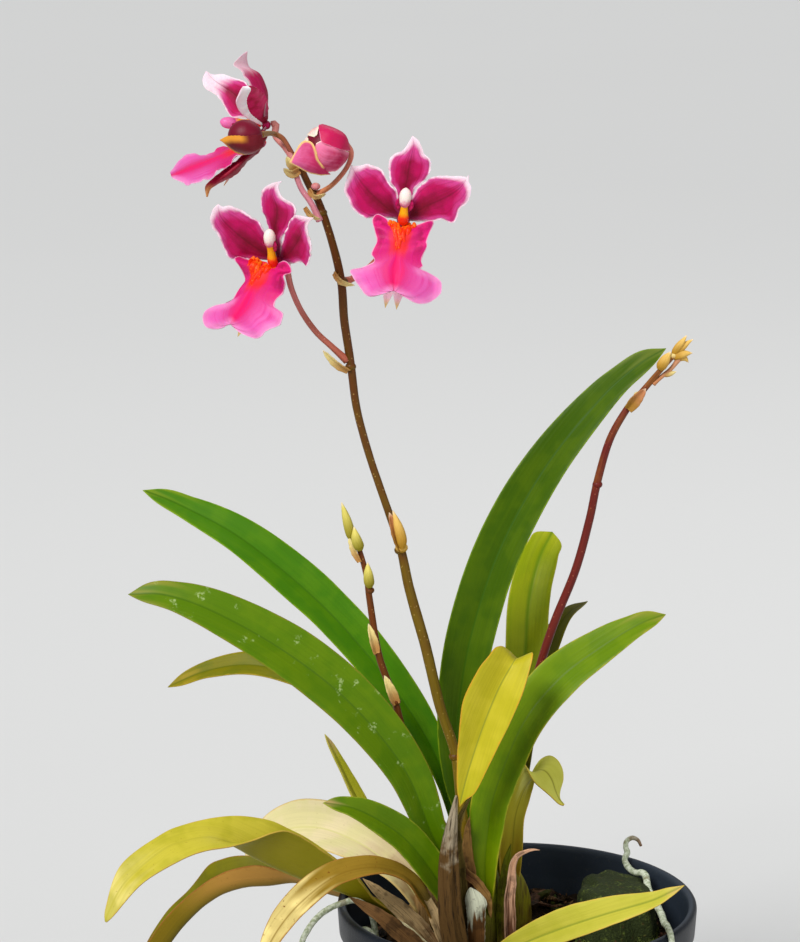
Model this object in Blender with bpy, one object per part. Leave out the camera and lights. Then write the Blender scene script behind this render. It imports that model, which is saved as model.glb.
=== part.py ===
"""A potted cambria orchid: nursery pot, bark mix, rhizome with pseudobulbs, strap leaves, flower spikes,
open blooms, an opening bud, a closed bud and aerial roots. Metres, +Z up, origin under the pot's centre."""

import math

import bmesh
import bpy
import numpy as np
from mathutils import Matrix, Vector

MM = 0.001
GAP = 0.3 * MM  # clearance between pieces that touch

# Nursery pot
POT_HEIGHT = 105 * MM
RIM_RADIUS = 60 * MM
RIM_BAND = 11 * MM  # height of the thicker band under the rim
RIM_STEP = 2.2 * MM  # how far the band stands out from the wall
WALL = 1.3 * MM
FLOOR = 2.0 * MM
BASE_RADIUS = 44 * MM
POT_SIDES = 32
DRAIN_HOLES = 6
DRAIN_RADIUS = 4.5 * MM

# Bark mix
SOIL_TOP = 88 * MM
SOIL_SIDES = 28
CHIP_COUNT = 16
CHIP_SIZE = (9 * MM, 5.5 * MM, 3.2 * MM)
CROWN_CENTRE = (-16 * MM, -4 * MM)
CROWN_CLEAR = 25 * MM  # bark chips keep this far from the middle of the plant

# Plant
LEAF_THICK = 1.0 * MM
SHEATH_THICK = 0.8 * MM
TEPAL_THICK = 0.7 * MM
STEM_SIDES = 6
RECEPTACLE = 2.2 * MM  # radius of the knob that carries a bloom's parts

COLOURS = {
    "pot_plastic": (0.012, 0.014, 0.018, 0.45),
    "bark": (0.11, 0.065, 0.035, 0.9),
    "moss": (0.07, 0.12, 0.03, 0.95),
    "rhizome": (0.25, 0.2, 0.1, 0.8),
    "bulb_green": (0.16, 0.24, 0.03, 0.5),
    "bulb_dry": (0.2, 0.15, 0.1, 0.85),
    "leaf_green": (0.09, 0.22, 0.01, 0.4),
    "leaf_yellow": (0.55, 0.48, 0.06, 0.45),
    "leaf_dry": (0.55, 0.42, 0.2, 0.6),
    "sheath_brown": (0.3, 0.16, 0.08, 0.8),
    "sheath_paper": (0.7, 0.66, 0.56, 0.8),
    "stem_brown": (0.16, 0.08, 0.02, 0.45),
    "stem_red": (0.26, 0.06, 0.03, 0.45),
    "tepal": (0.45, 0.02, 0.14, 0.5),
    "lip": (0.8, 0.09, 0.36, 0.5),
    "column": (0.8, 0.5, 0.2, 0.4),
    "root": (0.5, 0.54, 0.42, 0.8),
}


# Curves, outlines and frames


def mm(*values):
    """Millimetres to a vector in metres."""
    return Vector(values) * MM


def through(pairs, x):
    """A smooth curve through (place, value) pairs, read at x."""
    places, values = np.array(pairs, float).T
    slopes = np.gradient(values, places)
    x = np.clip(x, places[0], places[-1])
    i = np.clip(np.searchsorted(places, x, side="right") - 1, 0, len(places) - 2)
    width = places[i + 1] - places[i]
    u = (x - places[i]) / width
    return (
        (2 * u**3 - 3 * u**2 + 1) * values[i]
        + (u**3 - 2 * u**2 + u) * width * slopes[i]
        + (3 * u**2 - 2 * u**3) * values[i + 1]
        + (u**3 - u**2) * width * slopes[i + 1]
    )


def smooth_line(points, shares, steps=24):
    """Points at the given shares of the length of a Catmull-Rom curve through the given ones."""
    p = np.array([tuple(q) for q in points], float)
    p = np.vstack([2 * p[0] - p[1], p, 2 * p[-1] - p[-2]])
    u = np.linspace(0, 1, steps, endpoint=False)[:, None]
    dense = []
    for a, b, c, d in zip(p, p[1:], p[2:], p[3:]):
        dense.append(
            0.5 * (2 * b + (c - a) * u + (2 * a - 5 * b + 4 * c - d) * u**2 + (3 * b - a - 3 * c + d) * u**3)
        )
    dense = np.vstack([*dense, p[-2:-1]])
    along = np.concatenate([[0], np.cumsum(np.linalg.norm(np.diff(dense, axis=0), axis=1))])
    return np.column_stack([np.interp(shares * along[-1], along, dense[:, k]) for k in range(3)])


def unit(v):
    return v / np.maximum(np.linalg.norm(v, axis=-1, keepdims=True), 1e-12)


# Leaf and petal outlines: half width at a share of the length, as a share of the widest. A petal's sides differ

OUTLINES = {
    "leaf": ((0, 0.42), (0.12, 0.52), (0.3, 0.82), (0.52, 1.0), (0.75, 0.92), (0.9, 0.6), (0.97, 0.32), (1, 0)),
    "broad": ((0, 0.46), (0.12, 0.72), (0.3, 0.98), (0.5, 1.0), (0.75, 0.84), (0.9, 0.56), (0.97, 0.34), (1, 0)),
    "tapered": ((0, 0.45), (0.2, 0.8), (0.42, 1.0), (0.56, 0.96), (0.7, 0.76), (0.85, 0.46), (0.94, 0.24), (1, 0)),
    "short": ((0, 0.45), (0.2, 0.75), (0.45, 1.0), (0.7, 0.9), (0.88, 0.58), (0.96, 0.32), (1, 0)),
    "blunt": ((0, 0.4), (0.3, 0.7), (0.6, 1.0), (0.82, 0.98), (0.93, 0.82), (0.98, 0.55), (1, 0)),
    "sheath": ((0, 0.8), (0.3, 1.0), (0.7, 0.7), (0.9, 0.35), (1, 0)),
    "dorsal": (
        (0, 0.24), (0.2, 0.33), (0.34, 0.46), (0.5, 0.76), (0.63, 1.0), (0.72, 0.95), (0.81, 0.62), (0.9, 0.36),
        (1, 0)
    ),
    "petal_upper": (
        (0, 0.3), (0.12, 0.53), (0.25, 0.71), (0.5, 0.92), (0.66, 0.97), (0.8, 0.88), (0.92, 0.67), (1, 0)
    ),
    "petal_lower": (
        (0, 0.35), (0.2, 0.67), (0.4, 0.88), (0.57, 1.0), (0.7, 0.86), (0.86, 0.6), (0.95, 0.36), (1, 0)
    ),
    "narrow": ((0, 0.5), (0.3, 0.95), (0.55, 1.0), (0.8, 0.62), (1, 0)),
    "cupped": ((0, 0.3), (0.3, 0.85), (0.55, 1.0), (0.8, 0.75), (0.93, 0.4), (1, 0)),
}

# The lip, against a share of its length: half width, and how far its middle line is forward and down, in mm
LIP_WIDTH = (
    (0, 2.4), (0.06, 6.5), (0.13, 9.4), (0.28, 9.0), (0.42, 8.3), (0.55, 7.8), (0.61, 9.6), (0.67, 13.6),
    (0.79, 14.6), (0.9, 13), (1, 9.6)
)
LIP_FORWARD = ((0, 2.9), (0.12, 4.6), (0.3, 6.2), (0.55, 7.6), (0.8, 8.2), (1, 7.4))
LIP_DOWN = ((0, 1.8), (0.12, 3.6), (0.3, 7.6), (0.55, 14.2), (0.8, 21), (1, 26.4))
LIP_ROWS = (0, 0.07, 0.14, 0.26, 0.4, 0.54, 0.61, 0.68, 0.79, 0.9, 1)


# Solids


def mesh_object(name, points, faces):
    """A mesh object from points and faces, with its normals pointing out."""
    mesh = bpy.data.meshes.new(name)
    mesh.from_pydata([tuple(p) for p in points], [], faces)
    obj = bpy.data.objects.new(name, mesh)
    bpy.context.scene.collection.objects.link(obj)
    return obj


def face_out(obj):
    """Merges doubles and turns every face of a closed mesh outwards."""
    bm = bmesh.new()
    bm.from_mesh(obj.data)
    bmesh.ops.remove_doubles(bm, verts=bm.verts, dist=1e-6)
    bmesh.ops.recalc_face_normals(bm, faces=bm.faces)
    bm.to_mesh(obj.data)
    bm.free()
    return obj


def bake(obj):
    """Puts the object's modifiers into its mesh."""
    bpy.context.view_layer.update()
    mesh = bpy.data.meshes.new_from_object(obj.evaluated_get(bpy.context.evaluated_depsgraph_get()))
    obj.modifiers.clear()
    obj.data = mesh
    return obj


def tube(name, points, radii, sides=STEM_SIDES, rows=None, section=(1, 1, 0, 0), grow=0.0):
    """A closed tube along a smooth line. section is (width share, depth share, ridges, ridge depth)."""
    rows = rows or 3 * len(points)
    share = np.linspace(0, 1, rows + 1)
    line = smooth_line(points, share)
    radius = through(list(zip(np.linspace(0, 1, len(radii)), radii)), share) + grow
    along = unit(np.gradient(line, axis=0))
    side = np.array([1.0, 0.0, 0.0]) if abs(along[0][0]) < 0.9 else np.array([0.0, 1.0, 0.0])
    turn = np.arange(sides) * 2 * math.pi / sides
    wide, deep, ridges, depth = section
    reach = 1 + depth * np.cos(ridges * turn)
    points_out, faces = [], []
    for centre, tangent, r in zip(line, along, radius):
        side = unit(side - tangent * (side @ tangent))
        up = np.cross(tangent, side)
        ring = np.outer(np.cos(turn) * reach * wide, side) + np.outer(np.sin(turn) * reach * deep, up)
        points_out.extend(centre + r * ring)
    for row in range(rows):
        for k in range(sides):
            a, b = row * sides + k, row * sides + (k + 1) % sides
            faces.append((a, b, b + sides, a + sides))
    first, last = len(points_out), len(points_out) + 1
    points_out.append(line[0] - along[0] * (0.3 * radius[0] + grow))
    points_out.append(line[-1] + along[-1] * (0.3 * radius[-1] + grow))
    for k in range(sides):
        faces.append(((k + 1) % sides, k, first))
        faces.append((rows * sides + k, rows * sides + (k + 1) % sides, last))
    return face_out(mesh_object(name, points_out, faces))


def sheet(name, grid, thick):
    """A closed blade from a grid of points whose last row is one point, split into triangles."""
    rows, columns = grid.shape[0] - 1, grid.shape[1] - 1
    points = [*grid[:-1].reshape(-1, 3), grid[-1, 0]]
    faces = []
    for i in range(rows - 1):
        for j in range(columns):
            a = i * (columns + 1) + j
            b, c, d = a + 1, a + columns + 2, a + columns + 1
            faces += [(a, b, c), (a, c, d)] if j < columns / 2 else [(a, b, d), (b, c, d)]
    start = (rows - 1) * (columns + 1)
    faces += [(start + j, start + j + 1, len(points) - 1) for j in range(columns)]
    return thicken(mesh_object(name, points, faces), thick)


def thicken(obj, thick):
    """Solidify, with its wall centred on the surface."""
    wall = obj.modifiers.new("Wall", "SOLIDIFY")
    wall.thickness = thick
    wall.offset = 0
    return face_out(bake(obj))


def blade(name, points, width, outline, face, fold=(0, 0), cup=0.0, rows=11, columns=4, thick=LEAF_THICK,
          wave=0.0, waves=5, crowd=1.3, grow=0.0):
    """A leaf or tepal: a strip along a smooth line, folded in a V along its middle and cupped in an arc.

    face is the way the upper side looks at the base and at the tip, fold the V's lift in degrees there. A pair
    of outlines gives each side its own. crowd above 1 sets the rows closer towards the tip.
    """
    share = 1 - (1 - np.linspace(0, 1, rows + 1)) ** crowd
    line = smooth_line(points, share)
    left, right = outline if isinstance(outline, tuple) else (outline, outline)
    halves = [through(OUTLINES[edge], share) * width / 2 + grow * (share < 1) for edge in (left, right)]
    along = unit(np.gradient(line, axis=0))
    line[0] -= along[0] * grow
    line[-1] += along[-1] * grow
    look = np.outer(1 - share, face[0]) + np.outer(share, face[1])
    normal = unit(look - along * np.sum(look * along, axis=1, keepdims=True))
    side = np.cross(along, normal)
    lift = np.radians(fold[0] + (fold[1] - fold[0]) * share)
    t = np.linspace(-1, 1, columns + 1)[None, :]
    half = np.where(t < 0, halves[0][:, None], halves[1][:, None])
    across = np.sin(cup * t) / cup if cup else t
    sag = (1 - np.cos(cup * t)) / cup if cup else 0 * t
    along_wave = np.sin(2 * math.pi * waves * share[:, None] + 2.1 * np.sign(t))
    ripple = wave * np.abs(t) ** 2 * along_wave * np.sin(math.pi * share[:, None])
    out = half * across * np.cos(lift)[:, None]
    rise = half * (np.abs(t) * np.sin(lift)[:, None] + sag) + ripple
    grid = line[:, None, :] + out[..., None] * side[:, None, :] + rise[..., None] * normal[:, None, :]
    return sheet(name, grid, thick + 2 * grow)


def ball(name, centre, radii, segments=12, rings=8):
    """An ellipsoid."""
    bm = bmesh.new()
    bmesh.ops.create_uvsphere(bm, u_segments=segments, v_segments=rings, radius=1)
    bmesh.ops.scale(bm, verts=bm.verts, vec=radii)
    bmesh.ops.translate(bm, verts=bm.verts, vec=centre)
    mesh = bpy.data.meshes.new(name)
    bm.to_mesh(mesh)
    bm.free()
    obj = bpy.data.objects.new(name, mesh)
    bpy.context.scene.collection.objects.link(obj)
    return obj


def drop_crumbs(obj, least=1.0 * MM**3):
    """Removes shells that hold next to nothing, which a Boolean can leave."""
    bm = bmesh.new()
    bm.from_mesh(obj.data)
    left = set(bm.verts)
    while left:
        shell, edge = set(), [next(iter(left))]
        while edge:
            vert = edge.pop()
            if vert not in shell:
                shell.add(vert)
                edge.extend(e.other_vert(vert) for e in vert.link_edges)
        left -= shell
        faces = {face for vert in shell for face in vert.link_faces}
        volume = 0
        for face in faces:
            first, *rest = [vert.co for vert in face.verts]
            volume += sum(first.dot(b.cross(c)) for b, c in zip(rest, rest[1:])) / 6
        if volume < least:
            bmesh.ops.delete(bm, geom=list(shell), context="VERTS")
            left = {vert for vert in left if vert.is_valid}
    bm.to_mesh(obj.data)
    bm.free()


def join(base, others, operation="UNION", solver="MANIFOLD"):
    """Joins the other solids to the base in one Boolean, or cuts them from it, and removes them."""
    pieces = bpy.data.collections.new("pieces")
    for other in others:
        bpy.context.scene.collection.objects.unlink(other)
        pieces.objects.link(other)
    bpy.context.scene.collection.children.link(pieces)
    step = base.modifiers.new("Join", "BOOLEAN")
    step.operation = operation
    step.operand_type = "COLLECTION"
    step.collection = pieces
    step.solver = solver
    bake(base)
    for other in others:
        bpy.data.objects.remove(other)
    bpy.data.collections.remove(pieces)
    drop_crumbs(base)
    return base


def finish(obj, name, colour):
    """Names the object, gives it its material and shades it smooth."""
    obj.name = name
    red, green, blue, rough = COLOURS[colour]
    material = bpy.data.materials.get(colour)
    if material is None:
        material = bpy.data.materials.new(colour)
        material.use_nodes = True
        shader = material.node_tree.nodes["Principled BSDF"]
        shader.inputs["Base Color"].default_value = (red, green, blue, 1)
        shader.inputs["Roughness"].default_value = rough
        shader.inputs["Metallic"].default_value = 0
    obj.data.materials.clear()
    obj.data.materials.append(material)
    obj.data.shade_smooth()
    obj.data.set_sharp_from_angle(angle=math.radians(40))
    return obj


# Pot and bark mix


def wall_radius(z):
    """The pot's outer radius at height z, below the rim band."""
    top = RIM_RADIUS - RIM_STEP
    return BASE_RADIUS + (top - BASE_RADIUS) * z / (POT_HEIGHT - RIM_BAND)


def pot():
    """A turned pot with a rolled rim band, a flat floor and a ring of drain holes."""
    under = POT_HEIGHT - RIM_BAND
    profile = [
        (0, 0),
        (BASE_RADIUS - 1.5 * MM, 0),
        (BASE_RADIUS, 1.5 * MM),
        (wall_radius(under) - 0.2 * MM, under),
        (RIM_RADIUS - 0.6 * MM, under + 0.8 * MM),
        (RIM_RADIUS, POT_HEIGHT - 1.2 * MM),
        (RIM_RADIUS - 1.0 * MM, POT_HEIGHT),
        (RIM_RADIUS - 2.8 * MM, POT_HEIGHT - 0.6 * MM),
        (wall_radius(under) - WALL, under - 1 * MM),
        (wall_radius(FLOOR) - WALL, FLOOR),
        (0, FLOOR),
    ]
    bm = bmesh.new()
    line = [bm.verts.new((radius, 0, z)) for radius, z in profile]
    edges = [bm.edges.new(pair) for pair in zip(line, line[1:])]
    bmesh.ops.spin(bm, geom=line + edges, cent=(0, 0, 0), axis=(0, 0, 1), angle=2 * math.pi, steps=POT_SIDES,
                   use_merge=True)
    mesh = bpy.data.meshes.new("pot")
    bm.to_mesh(mesh)
    bm.free()
    obj = bpy.data.objects.new("pot", mesh)
    bpy.context.scene.collection.objects.link(obj)
    face_out(obj)
    holes = []
    for k in range(DRAIN_HOLES):
        turn = 2 * math.pi * (k + 0.5) / DRAIN_HOLES
        reach = BASE_RADIUS * 0.7
        centre = Vector((reach * math.cos(turn), reach * math.sin(turn), 0))
        holes.append(tube("hole", [centre - mm(0, 0, 3), centre, centre + mm(0, 0, 5)],
                          [DRAIN_RADIUS] * 3, sides=8, rows=2))
    join(obj, holes, "DIFFERENCE")
    return finish(obj, "pot", "pot_plastic")


def soil_height(x, y):
    """The rolling surface of the bark mix, in metres above SOIL_TOP."""
    waves = math.sin(x * 210 + 1.0) * math.cos(y * 170) + 0.6 * math.sin(x * 390 - y * 330 + 2)
    return 0.9 * MM * waves


def chip(rng, x, y, z):
    """A piece of bark: a wedge with uneven corners."""
    signs = [(i, j, k) for i in (-1, 1) for j in (-1, 1) for k in (-1, 1)]
    size = Vector(CHIP_SIZE) * rng.uniform(0.6, 1.15) / 2
    corners = [Vector((i * size.x, j * size.y, k * size.z)) * rng.uniform(0.7, 1.2) for i, j, k in signs]
    turn = Matrix.Rotation(rng.uniform(0, 2 * math.pi), 3, "Z")
    turn @= Matrix.Rotation(rng.uniform(-0.35, 0.35), 3, "X")
    bm = bmesh.new()
    for corner in corners:
        bm.verts.new(turn @ corner + Vector((x, y, z)))
    bmesh.ops.convex_hull(bm, input=bm.verts)
    mesh = bpy.data.meshes.new("chip")
    bm.to_mesh(mesh)
    bm.free()
    obj = bpy.data.objects.new("chip", mesh)
    bpy.context.scene.collection.objects.link(obj)
    return face_out(obj)


def substrate(cutters):
    """The bark mix: a plug that fills the pot, with chips on top and holes where the plant stands in it."""
    rim = wall_radius(SOIL_TOP) - WALL - GAP - 0.3 * MM
    foot = wall_radius(FLOOR) - WALL - GAP - 0.3 * MM
    rings = [(foot, FLOOR + GAP), (rim, SOIL_TOP - 1.5 * MM)]
    rings += [(rim * part, SOIL_TOP) for part in (0.94, 0.64, 0.32)]
    points, faces = [], []
    for number, (radius, z) in enumerate(rings):
        for k in range(SOIL_SIDES):
            turn = 2 * math.pi * k / SOIL_SIDES
            x, y = radius * math.cos(turn), radius * math.sin(turn)
            points.append((x, y, z + (soil_height(x, y) if number > 1 else 0)))
    for ring in range(len(rings) - 1):
        for k in range(SOIL_SIDES):
            a, b = ring * SOIL_SIDES + k, ring * SOIL_SIDES + (k + 1) % SOIL_SIDES
            faces.append((a, b, b + SOIL_SIDES, a + SOIL_SIDES))
    points += [(0, 0, FLOOR + GAP), (0, 0, SOIL_TOP + soil_height(0, 0))]
    inner = (len(rings) - 1) * SOIL_SIDES
    for k in range(SOIL_SIDES):
        faces.append(((k + 1) % SOIL_SIDES, k, len(points) - 2))
        faces.append((inner + k, inner + (k + 1) % SOIL_SIDES, len(points) - 1))
    obj = face_out(mesh_object("substrate", points, faces))
    rng = np.random.default_rng(5)
    chips = []
    while len(chips) < CHIP_COUNT:
        radius, turn = rim * 0.86 * math.sqrt(rng.uniform()), rng.uniform(0, 2 * math.pi)
        x, y = radius * math.cos(turn), radius * math.sin(turn)
        if math.hypot(x - CROWN_CENTRE[0], y - CROWN_CENTRE[1]) > CROWN_CLEAR:
            chips.append(chip(rng, x, y, SOIL_TOP + soil_height(x, y) + rng.uniform(-0.4, 0.9) * MM))
    join(obj, chips)
    join(obj, cutters, "DIFFERENCE")
    return finish(obj, "substrate", "bark")


MOSS_CENTRE = mm(34, 14, 88)
MOSS_RADII = mm(16, 22.5, 22.7)


def moss_mound(grow=0.0):
    """A mossy block at the right of the pot: a dome with a flattened, tilted top."""
    bm = bmesh.new()
    bmesh.ops.create_uvsphere(bm, u_segments=14, v_segments=8, radius=1)
    for v in bm.verts:
        square = 1 / max(abs(v.co.x), abs(v.co.y), abs(v.co.z)) ** 0.45
        lump = 1 + 0.06 * math.sin(9 * v.co.x + 4 * v.co.z) * math.cos(8 * v.co.y)
        v.co *= square * lump
        v.co.x *= MOSS_RADII.x * 0.86 + grow
        v.co.y *= MOSS_RADII.y * 0.86 + grow
        v.co.z *= MOSS_RADII.z * 0.86 + grow
        v.co += MOSS_CENTRE
    bmesh.ops.triangulate(bm, faces=bm.faces, quad_method="FIXED")
    mesh = bpy.data.meshes.new("moss")
    bm.to_mesh(mesh)
    bm.free()
    obj = bpy.data.objects.new("moss", mesh)
    bpy.context.scene.collection.objects.link(obj)
    return obj


# Pseudobulbs: (axis points in mm, radii in mm, section, colour)

BULBS = {
    "bulb_main": (((-13, -3, 84), (-13, -3, 98), (-13.5, -2.5, 113), (-14, -2, 127)),
                  (4.5, 7.6, 8.0, 6.6, 2.2), (1, 0.7, 6, 0.04), "bulb_green"),
    "bulb_dry": (((-19, -21, 84), (-21, -23.5, 98), (-23, -24.5, 112), (-23, -24.5, 130), (-21, -24, 145)),
                 (3.2, 4.2, 3.9, 3.6, 3.2, 2.0), (1, 0.85, 5, 0.14), "bulb_dry"),
    "bulb_left": (((-30, 5, 84), (-30.5, 5, 95), (-31, 5.5, 107)),
                  (4.5, 7.4, 7.2, 5.0, 1.8), (1, 0.82, 6, 0.07), "bulb_dry"),
    "bulb_back": (((-2, 14, 84), (-2, 14, 98), (-2, 14.5, 112)),
                  (4.0, 6.8, 7.0, 5.6, 2.0), (1, 0.74, 6, 0.05), "bulb_green"),
    "bulb_front": (((-9, -21, 85), (-8.5, -21.5, 91), (-7.5, -22, 97)),
                   (3.0, 4.6, 4.4, 3.0, 1.5), (1, 0.8, 5, 0.05), "bulb_green"),
}


def bulb(name, grow=0.0):
    """A pseudobulb: a flattened, ridged, tapering body."""
    points, radii, section, _ = BULBS[name]
    return tube(name, [mm(*p) for p in points], [r * MM for r in radii], sides=12, rows=6, section=section,
                grow=grow)


RHIZOME = ((-31, 5, 83), (-24, -3, 82.5), (-13, -6, 82.5), (-4, -2, 82.5), (-2, 12, 83))


def rhizome(grow=0.0):
    """The creeping stem under the bulbs."""
    return tube("rhizome", [mm(*p) for p in RHIZOME], [2.4 * MM] * 3, sides=6, rows=8, grow=grow)


# Leaves: bulb that carries each, path and width in mm, outline, upper side's look at base and tip, fold, colour

LEAVES = {
    "leaf_left_upper": dict(
        on="bulb_main", width=16.5, outline="leaf", fold=(38, 10), colour="leaf_green",
        look=((0.3, -1, 0.3), (0.25, -0.75, 0.75)),
        path=((-17, 1, 122), (-20, 3, 132), (-24, 5, 145), (-31, 8, 160), (-45, 12, 180), (-65, 17, 202),
              (-91, 22, 223), (-112, 26, 234), (-125, 28, 239)),
    ),
    "leaf_left_lower": dict(
        on="bulb_main", width=19, outline="leaf", fold=(36, 10), colour="leaf_green",
        look=((0.3, -1, 0.2), (0.2, -0.8, 0.7)),
        path=((-16, -5, 107), (-23, -7, 118), (-29, -10, 132), (-38, -13, 155), (-55, -17, 178),
              (-76, -19, 196), (-99, -19, 209.5), (-115, -18, 215), (-127, -17, 215)),
    ),
    "leaf_right_upper": dict(
        on="bulb_main", width=17.5, outline="broad", fold=(38, 12), colour="leaf_green",
        look=((0.2, -1, 0.1), (-0.5, -0.85, 0.4)),
        path=((-12, -1, 121), (-16, 0, 134), (-19.5, 2, 148), (-20, 5, 166), (-16, 9, 192), (-6.5, 14, 221),
              (8.5, 19, 248), (26.5, 24, 270), (39.5, 27, 281.5), (49, 29, 287)),
    ),
    "leaf_right_lower": dict(
        on="bulb_main", width=16, outline="leaf", fold=(30, 12), colour="leaf_green",
        look=((-0.3, -1, 0.2), (-0.35, -0.8, 0.65)),
        path=((-9, -5, 99), (-8.5, -9.5, 109), (-8, -10, 126), (-5.5, -8, 145), (2, -3, 167),
              (13.5, 2, 181), (26, 5, 190), (40, 8, 198), (49, 10, 201)),
    ),
    "leaf_front_yellow": dict(
        on="bulb_dry", width=18.5, outline="short", fold=(48, 24), colour="leaf_yellow",
        look=((0.25, -1, 0.1), (-0.2, -0.4, 1)),
        path=((-21.4, -24, 142), (-19, -24.5, 151), (-15, -24, 162), (-11.5, -23, 173), (-8, -21, 184),
              (-4, -15, 190), (1, -7, 189)),
    ),
    "leaf_back_tall": dict(
        on="bulb_back", width=14.5, outline="blunt", fold=(30, 12), colour="leaf_yellow",
        look=((0.1, -1, 0.1), (0, -0.9, 0.5)),
        path=((-4, 15, 106), (-4, 17, 120), (-3, 20, 135), (0, 26, 158), (3, 32, 178), (4.5, 40, 197),
              (8, 47, 210), (13, 55, 218)),
    ),
    "leaf_back_bent": dict(
        on="bulb_back", width=11, outline="short", fold=(35, 20), colour="leaf_yellow",
        look=((0.2, -1, 0.1), (-0.4, -0.6, 1)),
        path=((-0.5, 16, 105), (0, 21, 121), (2, 28, 139), (6, 38, 160), (12, 50, 177), (18, 58, 187),
              (26, 66, 190.5)),
    ),
    "leaf_back_curled": dict(
        on="bulb_back", width=11, outline="short", fold=(30, 40), colour="leaf_yellow",
        look=((-0.2, -1, 0.1), (1, -0.6, 0.4)),
        path=((0, 12, 97), (-1, 8.5, 107), (-2.5, 8.5, 119), (-1.5, 11, 130), (1, 14, 138),
              (5, 16, 142), (9.5, 15, 140), (13.5, 12.5, 135.5), (16.5, 10, 131)),
    ),
    "leaf_left_short": dict(
        on="bulb_main", width=14, outline="short", fold=(36, 14), colour="leaf_green",
        look=((0.3, -1, 0.4), (0.2, -0.8, 0.7)),
        path=((-18, -5, 96), (-22, -11, 106), (-28.5, -16, 119), (-37, -20, 133), (-46, -25, 143),
              (-55, -30, 149), (-63, -34, 151)),
    ),
    "leaf_left_edge": dict(
        on="bulb_left", width=8, outline="short", fold=(40, 20), colour="leaf_yellow",
        look=((0.9, -0.3, 0.6), (0.9, -0.2, 0.5)),
        path=((-31, 10, 95), (-36, 18, 108), (-44, 24, 120), (-52, 30, 132), (-58.5, 38, 140),
              (-65, 45, 149)),
    ),
    "leaf_far_left": dict(
        on="bulb_main", width=12, outline="leaf", fold=(36, 16), colour="leaf_yellow",
        look=((0.3, -0.8, 0.6), (0.1, -0.7, 0.8)),
        path=((-16, 0, 110), (-21, 7, 118), (-28, 14, 128), (-38, 24, 142), (-51, 36, 156),
              (-67, 48, 165.5), (-88, 56, 170), (-105, 61, 167), (-120, 64, 160)),
    ),
    "leaf_dry_pale": dict(
        on="bulb_left", width=18, outline="leaf", fold=(30, 14), colour="leaf_dry",
        look=((0.3, -0.8, 0.6), (-0.3, -0.7, 0.7)),
        path=((-31, 4, 100), (-37, 8, 108), (-44, 14, 113.5), (-53, 20, 118), (-66, 28, 120.5),
              (-78, 34, 118), (-88, 38, 108), (-95, 40, 96)),
    ),
    "leaf_yellow_twisted": dict(
        on="bulb_left", width=16, outline="leaf", fold=(34, 10), colour="leaf_yellow",
        look=((-0.3, -0.5, -0.8), (-0.6, -0.75, 0.6)),
        path=((-31, 1.5, 93), (-38, -4, 102), (-46, -8, 110), (-59, -12, 119), (-75, -16, 127),
              (-95, -21, 132.5), (-114, -26, 130), (-129, -30, 119), (-135, -32, 108)),
    ),
    "leaf_tan_hanging": dict(
        on="bulb_left", width=13, outline="leaf", fold=(30, 20), colour="leaf_dry",
        look=((0.2, -0.5, 0.8), (-0.7, -0.7, 0.5)),
        path=((-33, 6, 90), (-42, 10, 98.5), (-50, 13, 105.5), (-61, 17, 109), (-77, 22, 108),
              (-92, 27, 104), (-105, 31, 97), (-115, 34, 88), (-124, 36, 74), (-130, 37, 60)),
    ),
    "leaf_amber_front": dict(
        on="bulb_left", width=11.5, outline="leaf", fold=(40, 16), colour="leaf_yellow",
        look=((0.2, -0.5, 0.8), (-0.6, -0.7, 0.6)),
        path=((-27, 2, 92), (-28, -8, 99), (-31, -14, 109), (-37, -19, 119), (-47, -26, 125),
              (-59, -33, 125), (-70, -40, 119), (-78, -45, 111), (-85, -49, 99)),
    ),
    "leaf_front_right": dict(
        on="bulb_front", width=12.5, outline="tapered", fold=(34, 12), colour="leaf_yellow",
        look=((-0.2, -0.8, 0.7), (-0.2, -0.8, 0.7)),
        path=((-8, -22, 92), (-3, -27, 97), (4, -31, 102), (14, -36, 108), (27, -42, 115.5),
              (41, -47, 122.5), (52, -49, 127.5)),
    ),
}

# Dry sheaths and stubs round the bulbs: (path in mm, width, look at base and tip, fold, colour)

SHEATHS = {
    "sheath_dry_curl": (((-1, -8.5, 84), (0, -9, 96), (0, -8.5, 108), (2, -9, 117), (5.5, -10, 123),
                         (9.5, -10.5, 124.5)), 7, ((0.4, -1, 0), (-0.3, -0.6, 1)), (50, 55), "sheath_brown"),
    "sheath_olive": (((-3.9, -5.6, 84), (-4.2, -5.6, 95), (-4.2, -5, 105), (-3.2, -3.8, 120), (-1.8, -3, 125.5)),
                     5.2, ((0.1, -1, 0), (0.3, -1, 0)), (35, 20), "bulb_green"),
    "sheath_paper": (((-14, -14, 84), (-14.5, -15.5, 96), (-14.5, -16.5, 106), (-13, -17.5, 115)),
                     8, ((0.1, -1, 0.1), (0.3, -1, 0.3)), (38, 20), "sheath_paper"),
    "sheath_strip": (((-16.5, -10.8, 84), (-16.3, -11.8, 97), (-15.8, -14, 109), (-16, -15.3, 121),
                      (-16.5, -15.5, 137)),
                     3.6, ((0.3, -1, 0), (0.3, -1, 0)), (25, 10), "sheath_brown"),
    "sheath_left_brown": (((-27, -10, 84), (-32, -12, 95), (-39, -15, 105), (-46, -17, 112)),
                          9, ((0.2, -0.9, 0.5), (0.2, -0.9, 0.5)), (35, 30), "sheath_brown"),
    "sheath_low_brown": (((-27, -22, 84), (-32, -26, 95), (-39, -31, 104), (-47, -35, 110)),
                         9, ((0.2, -0.9, 0.5), (0.2, -0.8, 0.6)), (40, 30), "sheath_brown"),
}


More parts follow.
